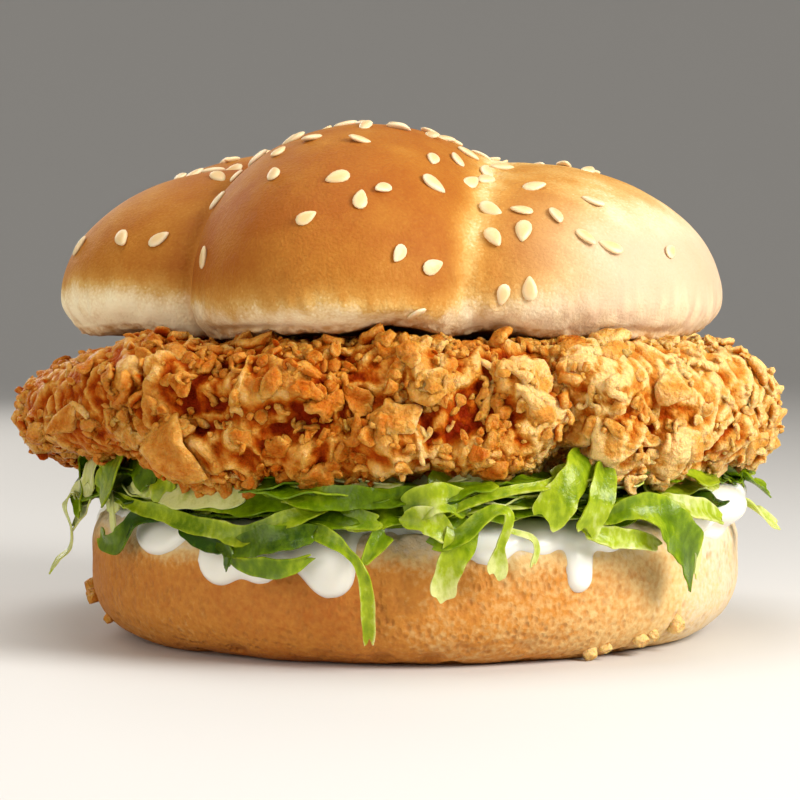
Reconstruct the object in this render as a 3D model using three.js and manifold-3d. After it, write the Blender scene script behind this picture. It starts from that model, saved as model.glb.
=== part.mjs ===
// A fried chicken burger in five layers: heel of the bun, mayonnaise, shredded lettuce,
// crusted chicken fillet and a five-lobed crown. Millimetres, +Z up, front towards -Y.
// The origin is the middle of the burger's outline, on the surface that it stands on.
import * as THREE from "three";
import { mergeVertices } from "three/addons/utils/BufferGeometryUtils.js";
import Module from "manifold-3d";

const wasm = await Module();
wasm.setup();

// Driving dimensions
const GAP = 0.4; // clear space between two layers that rest on each other
const COLUMNS = 60; // facets round each layer
const HEEL = { x: 3, radius: 51.8, height: 20.5, topCorner: 5.5, footCorner: 9, unevenness: 0.9 };
const SAUCE = { thickness: 1.6, radius: 46, dripDepth: 9 };
const LETTUCE = { x: 2, length: 111, width: 111, floor: 16, thickness: 11.2, ruffle: 0.015 };
const FILLET = {
  length: 126,
  width: 110,
  floor: 27.6,
  ceiling: 46.4,
  tipDrop: 5.5, // how much lower its top is at the -X tip
  droop: 5.5, // how much lower its underside is past the bun, round droopBearing
  droopBearing: -35, // degrees from +X
  cornerPower: 2.4, // 2 makes an oval, more a squarer outline
  skew: 0.03, // how far the outline departs from that oval
  bump: 1.5,
  bumpPeriod: 19,
};
// equator is the height of the crown's widest level over its cut face.
const CROWN = { width: 105.6, depth: 105, cutHeight: 47.6, equator: 6.2, cutWave: 0.7 };
const CUT_WAVE_RUN = { x: 9, y: 13 }; // how fast the cut face undulates along each axis

// Mayonnaise that has run over the rim: where it is round the heel, in degrees from the front
// towards +X, how far it hangs below the heel's top, and half its width in degrees.
const DRIPS = [
  { at: -49, hang: 5, half: 9 },
  { at: -30, hang: 9, half: 9 },
  { at: -14, hang: 10, half: 6 },
  { at: 14, hang: 5, half: 8 },
  { at: 28, hang: 10, half: 8 },
  { at: 68, hang: 5, half: 11 },
  { at: 118, hang: 4, half: 10 },
  { at: 171, hang: 7, half: 9 },
  { at: 214, hang: 5, half: 11 },
  { at: 262, hang: 6, half: 8 },
];

// Lobes of the crown, each an ellipsoid with its middle on the crown's widest level: towards is its
// bearing in degrees from +X, out is how far its middle lies that way, then its half sizes.
const LOBE_DOWN = 13; // every lobe's half size below the widest level
const LOBES = [
  { towards: 256, out: 13, along: 39, across: 28, up: 27.2 },
  { towards: 340, out: 22, along: 31, across: 37, up: 21.2 },
  { towards: 55, out: 18, along: 34, across: 33, up: 20.5 },
  { towards: 134, out: 22, along: 31, across: 36, up: 24 },
  { towards: 192, out: 23, along: 30, across: 25, up: 17.5 },
];

const FULL_TURN = 2 * Math.PI;
const DEGREE = Math.PI / 180;

// A closed solid from a sphere's grid: surface(bearing, descent) gives the point for a bearing
// from +X in radians and a descent of 0 at the top pole to 1 at the bottom pole.
function roundSolid(rows, surface) {
  const geometry = new THREE.SphereGeometry(1, COLUMNS, rows);
  const position = geometry.getAttribute("position");
  const uv = geometry.getAttribute("uv");
  for (let i = 0; i < position.count; i++) {
    const bearing = Math.PI + FULL_TURN * uv.getX(i);
    position.setXYZ(i, ...surface(bearing, 1 - uv.getY(i)));
  }
  return geometry;
}

// A closed geometry as a manifold-3d solid, for cuts and joins.
function solidOf(geometry) {
  const bare = geometry.clone();
  bare.deleteAttribute("normal");
  bare.deleteAttribute("uv");
  const merged = mergeVertices(bare, 1e-4);
  return new wasm.Manifold(
    new wasm.Mesh({
      numProp: 3,
      vertProperties: merged.getAttribute("position").array,
      triVerts: new Uint32Array(merged.index.array),
    }),
  );
}

// A manifold-3d solid as a geometry again.
function geometryOf(solid) {
  const { vertProperties, triVerts } = solid.getMesh();
  const geometry = new THREE.BufferGeometry();
  geometry.setAttribute("position", new THREE.BufferAttribute(vertProperties, 3));
  geometry.setIndex(new THREE.BufferAttribute(triVerts, 1));
  return geometry;
}

// Scales and moves a solid so that, seen from above, it fills a rectangle round (x, 0) exactly.
function fitPlan(geometry, x, length, width) {
  geometry.computeBoundingBox();
  const { min, max } = geometry.boundingBox;
  geometry.translate(-(min.x + max.x) / 2, -(min.y + max.y) / 2, 0);
  geometry.scale(length / (max.x - min.x), width / (max.y - min.y), 1);
  return geometry.translate(x, 0, 0);
}

// A superellipse's half section: out runs 0 to 1 to 0 from pole to pole, and rise 1 to -1. The
// smaller the powers, the boxier the section.
function pillowSection(descent, outPower, risePower) {
  const sine = descent > 0 && descent < 1 ? Math.sin(Math.PI * descent) : 0;
  const cosine = Math.cos(Math.PI * descent);
  return { out: sine ** outPower, rise: Math.sign(cosine) * Math.abs(cosine) ** risePower };
}

// Smooth lumps from crossed sine waves, from -1 to 1, with a period in millimetres.
function lumps(x, y, z, period) {
  const k = FULL_TURN / period;
  return (
    Math.sin(k * (x + 0.4 * y) + 1.3) * Math.cos(k * (0.9 * y - 0.3 * x) + 0.4) * 0.7 +
    Math.sin(k * (1.7 * z + 0.6 * x) + 2.1) * Math.cos(k * 1.3 * y - 0.8) * 0.3
  );
}

// The heel's half section from the middle of its top to the middle of its foot: a flat top, a
// tight upper corner, an upright side and a rounder lower corner.
function heelSection(grow = 0) {
  const { radius, height, topCorner, footCorner } = HEEL;
  const section = new THREE.Path();
  const upper = topCorner + grow;
  const lower = footCorner + grow;
  section.moveTo(0, height + grow);
  section.lineTo(radius - topCorner, height + grow);
  section.absarc(radius - topCorner, height - topCorner, upper, Math.PI / 2, 0, true);
  section.absarc(radius - footCorner, footCorner, lower, 0, -Math.PI / 2, true);
  section.lineTo(0, -grow);
  return section;
}

// How far the heel bulges past its round outline at a bearing.
const heelBulge = (bearing) =>
  HEEL.unevenness * (0.6 * Math.sin(2 * bearing + 0.7) + 0.4 * Math.sin(5 * bearing + 2));

function heel(grow = 0) {
  const cornerSteps = 3;
  const section = heelSection(grow).getPoints(cornerSteps);
  const rows = section.length - 1;
  return roundSolid(rows, (bearing, descent) => {
    const point = section[Math.round(descent * rows)];
    const radius = point.x + (heelBulge(bearing) * point.x) / HEEL.radius;
    return [HEEL.x + radius * Math.cos(bearing), radius * Math.sin(bearing), point.y];
  });
}

// The mayonnaise is a skin over the heel, kept where the poured disc and its drips lie. Each drip
// is an ellipsoid that hangs from the rim.
function mayonnaise() {
  const { radius, height, topCorner } = HEEL;
  const skin = solidOf(heel(GAP + SAUCE.thickness)).subtract(solidOf(heel(GAP)));
  const disc = new THREE.CylinderGeometry(SAUCE.radius, SAUCE.radius, 2 * topCorner, COLUMNS);
  disc.rotateX(Math.PI / 2).translate(HEEL.x, 0, height);
  const poured = DRIPS.reduce((all, drip) => {
    const stamp = new THREE.SphereGeometry(1, 12, 8);
    stamp.scale(drip.half * DEGREE * radius, SAUCE.dripDepth, drip.hang);
    stamp.translate(0, -radius + topCorner / 2, height);
    stamp.rotateZ(drip.at * DEGREE).translate(HEEL.x, 0, 0);
    return all.add(solidOf(stamp));
  }, solidOf(disc));
  return geometryOf(skin.intersect(poured));
}

// The lettuce is a flat heap with a ruffled outline, out to where its strips end. It hangs over
// the heel's rim, and the fillet presses into it.
function lettuceBed() {
  const { x, length, width, floor, thickness, ruffle } = LETTUCE;
  const rows = 7;
  const heap = roundSolid(rows, (bearing, descent) => {
    const { out, rise } = pillowSection(descent, 0.4, 0.7);
    const frill = 1 + ruffle * (Math.sin(9 * bearing) + Math.sin(14 * bearing + 1));
    const reach = out * frill;
    return [reach * Math.cos(bearing), reach * Math.sin(bearing), floor + (thickness * (1 + rise)) / 2];
  });
  const dressedHeel = heel(2 * GAP + SAUCE.thickness);
  fitPlan(heap, x, length, width);
  return geometryOf(solidOf(heap).subtract(solidOf(dressedHeel)).subtract(solidOf(fillet(GAP))));
}

// The fillet's outline at a bearing, as a share of its half sizes: a squarish oval, a little skewed.
function filletOutline(bearing) {
  const { cornerPower, skew } = FILLET;
  const cosine = Math.abs(Math.cos(bearing)) ** cornerPower;
  const sine = Math.abs(Math.sin(bearing)) ** cornerPower;
  return (cosine + sine) ** (-1 / cornerPower) + skew * Math.sin(3 * bearing + 0.6);
}

// The fillet is a long pillow with a lumpy side. It thins to a tip at -X, and its blunt front
// corner at +X droops past the bun.
function fillet(grow = 0) {
  const { length, width, floor, ceiling, tipDrop, droop, bump } = FILLET;
  const { smoothstep } = THREE.MathUtils;
  const rows = 14;
  const solid = roundSolid(rows, (bearing, descent) => {
    const { out, rise } = pillowSection(descent, 0.35, 0.55);
    const outline = filletOutline(bearing);
    const x = (length / 2) * out * outline * Math.cos(bearing);
    const y = (width / 2) * out * outline * Math.sin(bearing);
    const cornerShare = smoothstep(Math.cos(bearing - FILLET.droopBearing * DEGREE), 0.6, 0.9);
    const top = ceiling - tipDrop * smoothstep(-x, 0.3 * length, 0.48 * length);
    const bottom = floor - droop * cornerShare * smoothstep(out, 0.75, 0.95);
    const z = (top + bottom) / 2 + ((top - bottom) / 2 + grow) * rise;
    const swell = bump * lumps(x, y, z, FILLET.bumpPeriod) * out ** 3;
    return [x + swell * Math.cos(bearing), y + swell * Math.sin(bearing), z];
  });
  return fitPlan(solid, 0, length + 2 * grow, width + 2 * grow);
}

// The distance from the crown's middle, on its equator, to one lobe's skin in a direction.
function lobeReach(lobe, direction) {
  const angle = lobe.towards * DEGREE;
  const turn = ([x, y, z]) => [
    (x * Math.cos(angle) + y * Math.sin(angle)) / lobe.along,
    (y * Math.cos(angle) - x * Math.sin(angle)) / lobe.across,
    z / (z > 0 ? lobe.up : LOBE_DOWN),
  ];
  const ray = turn(direction);
  const start = -lobe.out / lobe.along;
  const a = ray[0] ** 2 + ray[1] ** 2 + ray[2] ** 2;
  const b = ray[0] * start;
  return (Math.sqrt(b * b - a * (start * start - 1)) - b) / a;
}

// The crown is the union of its lobes, cut nearly level a little below its widest place. Its rows
// run evenly down the skin to the cut edge, and the last few cross the cut face.
function crown() {
  const { width, depth, cutHeight, equator, cutWave } = CROWN;
  const skinRows = 14;
  const cutRows = 3;
  const cutInset = 4; // how far the cut edge lies inside the widest outline
  const edgePolar = Math.PI / 2 + Math.atan2(equator, width / 2 - cutInset);
  const solid = roundSolid(skinRows + cutRows, (bearing, descent) => {
    const row = Math.round(descent * (skinRows + cutRows));
    const onSkin = Math.min(row / skinRows, 1) ** 0.8;
    const onCut = Math.max(row - skinRows, 0) / cutRows;
    const polar = edgePolar * onSkin + (Math.PI - edgePolar) * onCut;
    const flat = Math.sin(polar);
    const direction = [flat * Math.cos(bearing), flat * Math.sin(bearing), Math.cos(polar)];
    const skin = Math.max(...LOBES.map((lobe) => lobeReach(lobe, direction)));
    const cut = direction[2] < 0 ? -equator / direction[2] : Infinity;
    return direction.map((part) => part * Math.min(skin, cut));
  });
  fitPlan(solid, 0, width, depth);
  const position = solid.getAttribute("position");
  for (let i = 0; i < position.count; i++) {
    const height = position.getZ(i);
    const wave =
      Math.sin(position.getX(i) / CUT_WAVE_RUN.x) * Math.cos(position.getY(i) / CUT_WAVE_RUN.y);
    const fade = THREE.MathUtils.smoothstep(-height, 0, equator);
    position.setZ(i, cutHeight + equator + height + cutWave * wave * fade);
  }
  return solid;
}

// A named piece of the burger with its own colour and roughness.
function piece(name, geometry, color, roughness) {
  const material = new THREE.MeshStandardMaterial({ color, roughness, metalness: 0 });
  const mesh = new THREE.Mesh(geometry, material);
  mesh.name = name;
  return mesh;
}

const burger = new THREE.Group();
burger.add(
  piece("bottom_bun", heel(), "#d9a566", 0.75),
  piece("mayonnaise", mayonnaise(), "#f4f2e8", 0.3),
  piece("lettuce", lettuceBed(), "#8fbf3a", 0.45),
  piece("chicken_fillet", fillet(), "#c97f33", 0.6),
  piece("top_bun", crown(), "#cf8f4c", 0.6),
);
export default burger;
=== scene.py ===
import math

import bpy
import numpy as np
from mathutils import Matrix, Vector


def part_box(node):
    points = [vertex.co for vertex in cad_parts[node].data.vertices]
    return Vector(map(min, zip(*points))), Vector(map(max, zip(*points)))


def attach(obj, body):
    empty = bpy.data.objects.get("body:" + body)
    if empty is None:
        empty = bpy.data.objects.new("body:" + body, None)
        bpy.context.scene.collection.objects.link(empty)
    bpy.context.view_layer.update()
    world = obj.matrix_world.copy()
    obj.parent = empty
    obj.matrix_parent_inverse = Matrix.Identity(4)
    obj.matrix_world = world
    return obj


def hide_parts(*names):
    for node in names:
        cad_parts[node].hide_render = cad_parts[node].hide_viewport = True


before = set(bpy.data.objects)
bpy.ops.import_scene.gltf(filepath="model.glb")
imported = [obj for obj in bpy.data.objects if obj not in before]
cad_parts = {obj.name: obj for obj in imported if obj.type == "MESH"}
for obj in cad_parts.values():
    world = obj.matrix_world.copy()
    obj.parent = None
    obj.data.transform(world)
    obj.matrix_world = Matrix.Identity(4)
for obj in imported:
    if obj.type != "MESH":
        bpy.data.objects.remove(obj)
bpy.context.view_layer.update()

# Shapes are worked out in millimetres and put into meshes in metres. The front is towards -Y.
millimetre = 0.001
fullTurn = 2 * math.pi


def nodeBox(node):
    # lowest and highest corner of a CAD node, in millimetres
    low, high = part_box(node)
    return np.array(low) / millimetre, np.array(high) / millimetre


heelLow, heelHigh = nodeBox("bottom_bun")
filletLow, filletHigh = nodeBox("chicken_fillet")
crownLow, crownHigh = nodeBox("top_bun")


# curves and noise, all on whole arrays

def easeBetween(value, low, high):
    # 0 below low and 1 above high, with the cubic 3t^2 - 2t^3 between them
    t = np.clip((value - low) / (high - low), 0, 1)
    return t * t * (3 - 2 * t)


def hill(value, middle, width):
    # a bell curve: e to the minus square of the distance from the middle in widths
    return np.exp(-(((value - middle) / width) ** 2))


def softMax(first, second, width):
    # the larger of two fields, rounded where they are closer than width
    near = np.maximum(width - np.abs(first - second), 0)
    return np.maximum(first, second) + near * near / (4 * width)


def mixNumbers(cells, seed):
    # a random-looking whole number for each lattice cell: its indices times odd numbers, folded
    mixed = cells[..., 0] * 374761393 + cells[..., 1] * 668265263 + cells[..., 2] * 1440662683
    mixed = (mixed + seed * 1274126177) & 0xFFFFFFFF
    mixed = ((mixed ^ (mixed >> 13)) * 1103515245) & 0xFFFFFFFF
    mixed = ((mixed ^ (mixed >> 16)) * 668265263) & 0xFFFFFFFF
    return mixed ^ (mixed >> 15)


def slopeNoise(points, size, seed=0):
    # gradient noise, about -1 to 1: each corner of a lattice of that size holds a random slope,
    # and the eight slopes round a point are blended by the curve 6t^5 - 15t^4 + 10t^3
    scaled = np.asarray(points) / size
    cell = np.floor(scaled)
    part = scaled - cell
    cell = cell.astype(np.int64)
    blend = part**3 * (part * (part * 6 - 15) + 10)
    total = np.zeros(scaled.shape[:-1])
    for corner in np.ndindex(2, 2, 2):
        number = mixNumbers(cell + corner, seed)
        slope = np.stack([number & 1023, (number >> 10) & 1023, (number >> 20) & 1023], -1)
        weight = np.prod(np.where(np.array(corner) == 1, blend, 1 - blend), -1)
        total += weight * np.sum((slope / 511.5 - 1) * (part - corner), -1)
    return total * 1.5


def roughNoise(points, size, octaves, seed=0):
    # layers of gradient noise, each with half the size and half the height of the one before
    layers = [slopeNoise(points, size / 2**k, seed + k) / 2**k for k in range(octaves)]
    return sum(layers)


def pitNoise(points, size, seed=0):
    # distance to the nearest of random points, one in each cube of that size, in cube sides
    scaled = np.asarray(points) / size
    cell = np.floor(scaled).astype(np.int64)
    nearest = np.full(scaled.shape[:-1], 9.0)
    for step in np.ndindex(3, 3, 3):
        other = cell + np.array(step) - 1
        number = mixNumbers(other, seed)
        inside = np.stack([number & 1023, (number >> 10) & 1023, (number >> 20) & 1023], -1)
        nearest = np.minimum(nearest, np.sum((other + inside / 1023 - scaled) ** 2, -1))
    return np.sqrt(nearest)


# grids and meshes

def ballGrid(rows, columns):
    # bearing and descent (0 top to 1 bottom) of a ball's points: top pole, rings, bottom pole
    bearing = np.tile(np.arange(columns) / columns * fullTurn, rows - 1)
    descent = np.repeat(np.arange(1, rows) / rows, columns)
    return np.concatenate([[0], bearing, [0]]), np.concatenate([[0], descent, [1]])


def ballFaces(rows, columns):
    # four-cornered faces between rings and a fan of triangles at each pole, facing outwards
    ring, column = np.meshgrid(np.arange(rows - 2), np.arange(columns), indexing="ij")
    here = (1 + ring * columns + column).ravel()
    beside = (1 + ring * columns + (column + 1) % columns).ravel()
    quads = np.stack([here, here + columns, beside + columns, beside], -1)
    around = np.arange(columns)
    onward = (around + 1) % columns
    lastRing = 1 + (rows - 2) * columns
    bottom = 1 + (rows - 1) * columns
    top = np.stack([np.zeros_like(around), 1 + around, 1 + onward], -1)
    end = np.stack([np.full_like(around, bottom), lastRing + onward, lastRing + around], -1)
    return quads, np.concatenate([top, end])


def sheetFaces(rows, columns):
    # four-cornered faces of an open grid of points, row by row
    row, column = np.meshgrid(np.arange(rows - 1), np.arange(columns - 1), indexing="ij")
    here = (row * columns + column).ravel()
    return np.stack([here, here + columns, here + columns + 1, here + 1], -1)


def repeated(faces, pointsEach, copies):
    # the same faces for each of several shapes whose points follow one another
    faces = np.asarray(faces)
    shifted = faces[None] + (np.arange(copies) * pointsEach)[:, None, None]
    return shifted.reshape(-1, faces.shape[-1])


def ballShapes(points, rows, columns):
    # points of shape (copies, points each, 3), as one set of points, quads and triangles
    quads, triangles = ballFaces(rows, columns)
    copies, pointsEach = points.shape[:2]
    allPoints = points.reshape(-1, 3)
    return allPoints, repeated(quads, pointsEach, copies), repeated(triangles, pointsEach, copies)


def together(shapes):
    # several sets of points, quads and triangles as one
    starts = np.cumsum([0] + [len(shape[0]) for shape in shapes[:-1]])
    points = np.concatenate([shape[0] for shape in shapes])
    quads = np.concatenate([shape[1].reshape(-1, 4) + at for shape, at in zip(shapes, starts)])
    triangles = np.concatenate([shape[2].reshape(-1, 3) + at for shape, at in zip(shapes, starts)])
    return points, quads, triangles


def meshOf(name, points, quads, triangles=np.zeros((0, 3), int)):
    # a smooth-shaded mesh from points in millimetres
    mesh = bpy.data.meshes.new(name)
    corners = np.concatenate([np.ravel(quads), np.ravel(triangles)]).astype(np.int32)
    quadStarts = np.arange(len(quads)) * 4
    starts = np.concatenate([quadStarts, 4 * len(quads) + np.arange(len(triangles)) * 3])
    mesh.vertices.add(len(points))
    mesh.vertices.foreach_set("co", (points * millimetre).astype(np.float32).ravel())
    mesh.loops.add(len(corners))
    mesh.loops.foreach_set("vertex_index", corners)
    mesh.polygons.add(len(starts))
    mesh.polygons.foreach_set("loop_start", starts.astype(np.int32))
    mesh.update(calc_edges=True)
    mesh.shade_smooth()
    return mesh


def pointsOf(mesh):
    points = np.empty(len(mesh.vertices) * 3, np.float32)
    mesh.vertices.foreach_get("co", points)
    return points.reshape(-1, 3).astype(float) / millimetre


def normalsOf(mesh):
    normals = np.empty(len(mesh.vertices) * 3, np.float32)
    mesh.vertex_normals.foreach_get("vector", normals)
    return normals.reshape(-1, 3).astype(float)


def edgesOf(mesh):
    edges = np.empty(len(mesh.edges) * 2, np.int32)
    mesh.edges.foreach_get("vertices", edges)
    return edges.reshape(-1, 2)


def setPoints(mesh, points):
    mesh.vertices.foreach_set("co", (points * millimetre).astype(np.float32).ravel())
    mesh.update()


def setField(mesh, name, values):
    # one number for each point of the mesh, which its material reads
    field = mesh.attributes.new(name, "FLOAT", "POINT")
    field.data.foreach_set("value", np.asarray(values, np.float32))


def relaxed(points, edges, rounds):
    # each round moves every point to the mean of its neighbours
    total = len(points)
    heads, tails = np.concatenate([edges, edges[:, ::-1]]).T
    neighbours = np.maximum(np.bincount(heads, minlength=total), 1)
    for _ in range(rounds):
        sums = [np.bincount(heads, points[tails, axis], total) for axis in range(3)]
        points = np.stack(sums, -1) / neighbours[:, None]
    return points


def withModifiers(mesh, *steps):
    # the mesh after a stack of modifiers, each given as (kind, settings)
    holder = bpy.data.objects.new("holder", mesh)
    bpy.context.scene.collection.objects.link(holder)
    for kind, settings in steps:
        modifier = holder.modifiers.new(kind, kind)
        for key, value in settings.items():
            setattr(modifier, key, value)
    changed = bpy.data.meshes.new_from_object(
        holder.evaluated_get(bpy.context.evaluated_depsgraph_get())
    )
    bpy.data.objects.remove(holder)
    bpy.data.meshes.remove(mesh)
    return changed


def fused(name, shape, voxel, triangleLimit):
    # overlapping closed shapes as one skin, without the cubes' steps, thinned to a triangle limit
    mesh = meshOf(name, *shape)
    mesh = withModifiers(mesh, ("REMESH", {"mode": "VOXEL", "voxel_size": voxel * millimetre}))
    setPoints(mesh, relaxed(pointsOf(mesh), edgesOf(mesh), 1))
    triangles = sum(len(face.vertices) - 2 for face in mesh.polygons)
    if triangles > triangleLimit:
        mesh = withModifiers(mesh, ("DECIMATE", {"ratio": triangleLimit / triangles}))
    mesh.name = name
    mesh.shade_smooth()
    return mesh


def addPiece(name, mesh, material, nodes=()):
    piece = bpy.data.objects.new(name, mesh)
    bpy.context.scene.collection.objects.link(piece)
    mesh.materials.append(material)
    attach(piece, "root")
    if nodes:
        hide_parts(*nodes)
    print(f"{name}: {len(mesh.polygons)} faces")
    return piece


# materials

class Paint:
    # a material's node tree, with short ways to add and join nodes
    def __init__(self, name, sockets):
        self.material = bpy.data.materials.new(name)
        self.material.use_nodes = True
        self.tree = self.material.node_tree
        self.shader = self.tree.nodes["Principled BSDF"]
        for label, value in sockets.items():
            self.shader.inputs[label].default_value = value

    def node(self, kind, inputs=None, **settings):
        made = self.tree.nodes.new("ShaderNode" + kind)
        for key, value in settings.items():
            setattr(made, key, value)
        for key, value in (inputs or {}).items():
            if isinstance(value, bpy.types.NodeSocket):
                self.tree.links.new(value, made.inputs[key])
            else:
                made.inputs[key].default_value = value
        return made

    def field(self, name):
        # a number that setField has put on the mesh
        return self.node("Attribute", attribute_name=name).outputs["Fac"]

    def place(self, stretch=(1, 1, 1)):
        coordinates = self.node("TexCoord").outputs["Object"]
        inputs = {"Vector": coordinates, "Scale": stretch}
        return self.node("Mapping", inputs).outputs["Vector"]

    def noise(self, millimetres, detail=3, stretch=(1, 1, 1)):
        inputs = {"Vector": self.place(stretch), "Scale": 1000 / millimetres, "Detail": detail}
        return self.node("TexNoise", inputs).outputs["Fac"]

    def cells(self, millimetres, stretch=(1, 1, 1)):
        # distance to the nearest of random points
        inputs = {"Vector": self.place(stretch), "Scale": 1000 / millimetres}
        return self.node("TexVoronoi", inputs).outputs["Distance"]

    def range(self, value, low, high, newLow=0.0, newHigh=1.0):
        # low to high turned into newLow to newHigh in a straight line, and held there beyond
        inputs = {"Value": value, "From Min": low, "From Max": high}
        inputs.update({"To Min": newLow, "To Max": newHigh})
        return self.node("MapRange", inputs).outputs["Result"]

    def math(self, operation, *values):
        return self.node("Math", dict(enumerate(values)), operation=operation).outputs[0]

    def times(self, value, factor):
        return self.math("MULTIPLY", value, factor)

    def total(self, value, *others):
        for other in others:
            value = self.math("ADD", value, other)
        return value

    def ramp(self, value, stops):
        # a colour for each value, from stops of (value, (red, green, blue))
        made = self.node("ValToRGB", {"Fac": value})
        elements = made.color_ramp.elements
        for position, colour in stops[len(elements):]:
            elements.new(position)
        for element, (position, colour) in zip(elements, stops):
            element.position = position
            element.color = (*colour, 1)
        return made.outputs["Color"]

    def mix(self, share, first, second):
        # the first colour at share 0 and the second at share 1
        colours = [(*value, 1) if isinstance(value, tuple) else value for value in (first, second)]
        inputs = {0: share, 6: colours[0], 7: colours[1]}
        return self.node("Mix", inputs, data_type="RGBA").outputs[2]

    def join(self, label, socket):
        # lets a worked-out colour or number reach the shader
        self.tree.links.new(socket, self.shader.inputs[label])

    def bump(self, height, millimetres, strength=1.0):
        inputs = {"Height": height, "Distance": millimetres * millimetre, "Strength": strength}
        self.join("Normal", self.node("Bump", inputs).outputs["Normal"])


# camera, lights and floor

studio = {
    "lens": 123.75,
    "camera": (0.0, -0.447, 0.060),
    "aim": (0.0011, 0.0, 0.0369),
    "floorColour": (0.68, 0.67, 0.65),
    "skyColour": (1.0, 0.97, 0.93),
    "skyStrength": 0.26,
    "floorFlat": 900.0,  # where the floor starts to curve up, in millimetres from the middle
    "floorCurve": 900.0,  # the radius of that curve
    "floorGrid": (40, 96),
    # name, place, aim, side length, watts, colour
    "lights": [
        ("keyLight", (0.34, -0.22, 0.24), (0.02, 0, 0.04), 0.22, 2.7, (1.0, 0.97, 0.93)),
        ("fillLight", (-0.40, -0.50, 0.20), (0, 0, 0.04), 0.45, 1.62, (1.0, 0.94, 0.86)),
        ("topLight", (-0.05, -0.02, 0.60), (0, 0, 0.05), 0.34, 1.7, (1.0, 0.96, 0.91)),
        ("backLight", (-0.30, 0.50, 0.30), (0, 0, 0.04), 0.30, 1.0, (1.0, 0.96, 0.90)),
    ],
}


def aimAt(item, place, target):
    # puts an object at place with its -Z axis towards target
    item.location = place
    item.rotation_euler = (Vector(target) - Vector(place)).to_track_quat("-Z", "Y").to_euler()
    bpy.context.scene.collection.objects.link(item)


def sweepShape():
    # a round floor that is flat in the middle and turns up all round it as a quarter circle
    rows, columns = studio["floorGrid"]
    bearing, descent = ballGrid(rows, columns)
    flat, curve = studio["floorFlat"], studio["floorCurve"]
    reach = descent * (flat + curve * math.pi / 2)
    turn = np.maximum(reach - flat, 0) / curve
    out = np.minimum(reach, flat) + curve * np.sin(turn)
    points = np.stack([out * np.cos(bearing), out * np.sin(bearing), curve * (1 - np.cos(turn))], -1)
    quads, triangles = ballFaces(rows, columns)
    return points[:-1], quads, triangles[:columns]


def makeStudio():
    scene = bpy.context.scene
    scene.view_settings.view_transform = "Standard"
    camera = bpy.data.objects.new("camera", bpy.data.cameras.new("camera"))
    camera.data.lens = studio["lens"]
    camera.data.clip_start = 0.01
    aimAt(camera, studio["camera"], studio["aim"])
    scene.camera = camera
    for name, place, target, side, watts, colour in studio["lights"]:
        light = bpy.data.lights.new(name, "AREA")
        light.size = side
        light.energy = watts
        light.color = colour
        aimAt(bpy.data.objects.new(name, light), place, target)
    world = bpy.data.worlds.new("softSky")
    world.use_nodes = True
    sky = world.node_tree.nodes["Background"]
    sky.inputs["Color"].default_value = (*studio["skyColour"], 1)
    sky.inputs["Strength"].default_value = studio["skyStrength"]
    scene.world = world
    floor = bpy.data.objects.new("floor", meshOf("floor", *sweepShape()))
    scene.collection.objects.link(floor)
    paint = Paint("paleFloor", {"Base Color": (*studio["floorColour"], 1), "Roughness": 0.7})
    floor.data.materials.append(paint.material)


makeStudio()
print("camera, lights and floor ready")


# crown of the bun: five lobes that meet in creases

crown = {
    "cutHeight": 47.6,
    "equator": 6.2,  # height of the widest level over the cut
    "lobeDown": 13.0,
    # bearing from +X in degrees, how far out, then half sizes along, across and up
    "lobes": [
        (256, 13, 39, 28, 27.2),
        (340, 22, 31, 37, 21.2),
        (55, 18, 34, 33, 20.5),
        (134, 22, 31, 36, 24.0),
        (192, 23, 30, 25, 20.5),
    ],
    "tornPair": (0, 1),  # the two lobes between which the dough has stretched
    "columns": 540,
    "skinRows": 168,
    "cutRows": 8,
    "paleTop": 57.6,  # where the pale band has gone over to brown
    "tornStrip": 1.5,  # height of the torn bread under the skin's lower edge
    "archDepth": 1.9,  # how far the lower edge lifts in the middle of the front
    "cornerSize": 2.2,  # how widely the skin is rounded off into the cut
}


def lobeReach(lobe, direction):
    # how far a ray from the crown's middle goes before it leaves an ellipsoid: the larger root
    # of |start + ray * reach|^2 = 1, with both measured in the ellipsoid's half sizes
    towards, out, along, across, up = lobe
    angle = math.radians(towards)
    x, y, z = direction.T
    ray = np.stack([
        (x * math.cos(angle) + y * math.sin(angle)) / along,
        (y * math.cos(angle) - x * math.sin(angle)) / across,
        z / np.where(z > 0, up, crown["lobeDown"]),
    ])
    start = -out / along
    square = np.sum(ray * ray, 0)
    lean = ray[0] * start
    return (np.sqrt(lean * lean - square * (start * start - 1)) - lean) / square


def crownSkin(bearing, polar):
    # a point of the crown in the direction of a bearing from +X and an angle from straight up:
    # the lobe that reaches furthest, rounded off against the next one and grooved along the
    # crease, down to the level cut; also how far inside its lobe it is, and how torn
    flat = np.sin(polar)
    direction = np.stack([flat * np.cos(bearing), flat * np.sin(bearing), np.cos(polar)], -1)
    reaches = np.array([lobeReach(lobe, direction) for lobe in crown["lobes"]])
    order = np.argsort(-reaches, axis=0)
    first, second = np.take_along_axis(reaches, order[:2], 0)
    torn = np.isin(order[0], crown["tornPair"]) & np.isin(order[1], crown["tornPair"])
    torn = torn * easeBetween(-direction[:, 1], 0.05, 0.3)
    gap = first - second
    blend = 1.0 + 4.5 * torn
    near = np.maximum(blend - gap, 0)
    groove = (1.1 - 0.5 * torn) * np.exp(-((gap / (1.0 + 1.6 * torn)) ** 2))
    reach = first + near * near / (4 * blend) - groove
    sinking = np.maximum(-direction[:, 2], 0.01)
    cut = np.where(direction[:, 2] < -0.01, crown["equator"] / sinking, 999)
    corner = crown["cornerSize"]
    closeness = np.maximum(corner - np.abs(reach - cut), 0)
    reach = np.minimum(reach, cut) - closeness * closeness / (4 * corner)
    return direction * reach[:, None], gap, torn


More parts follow.
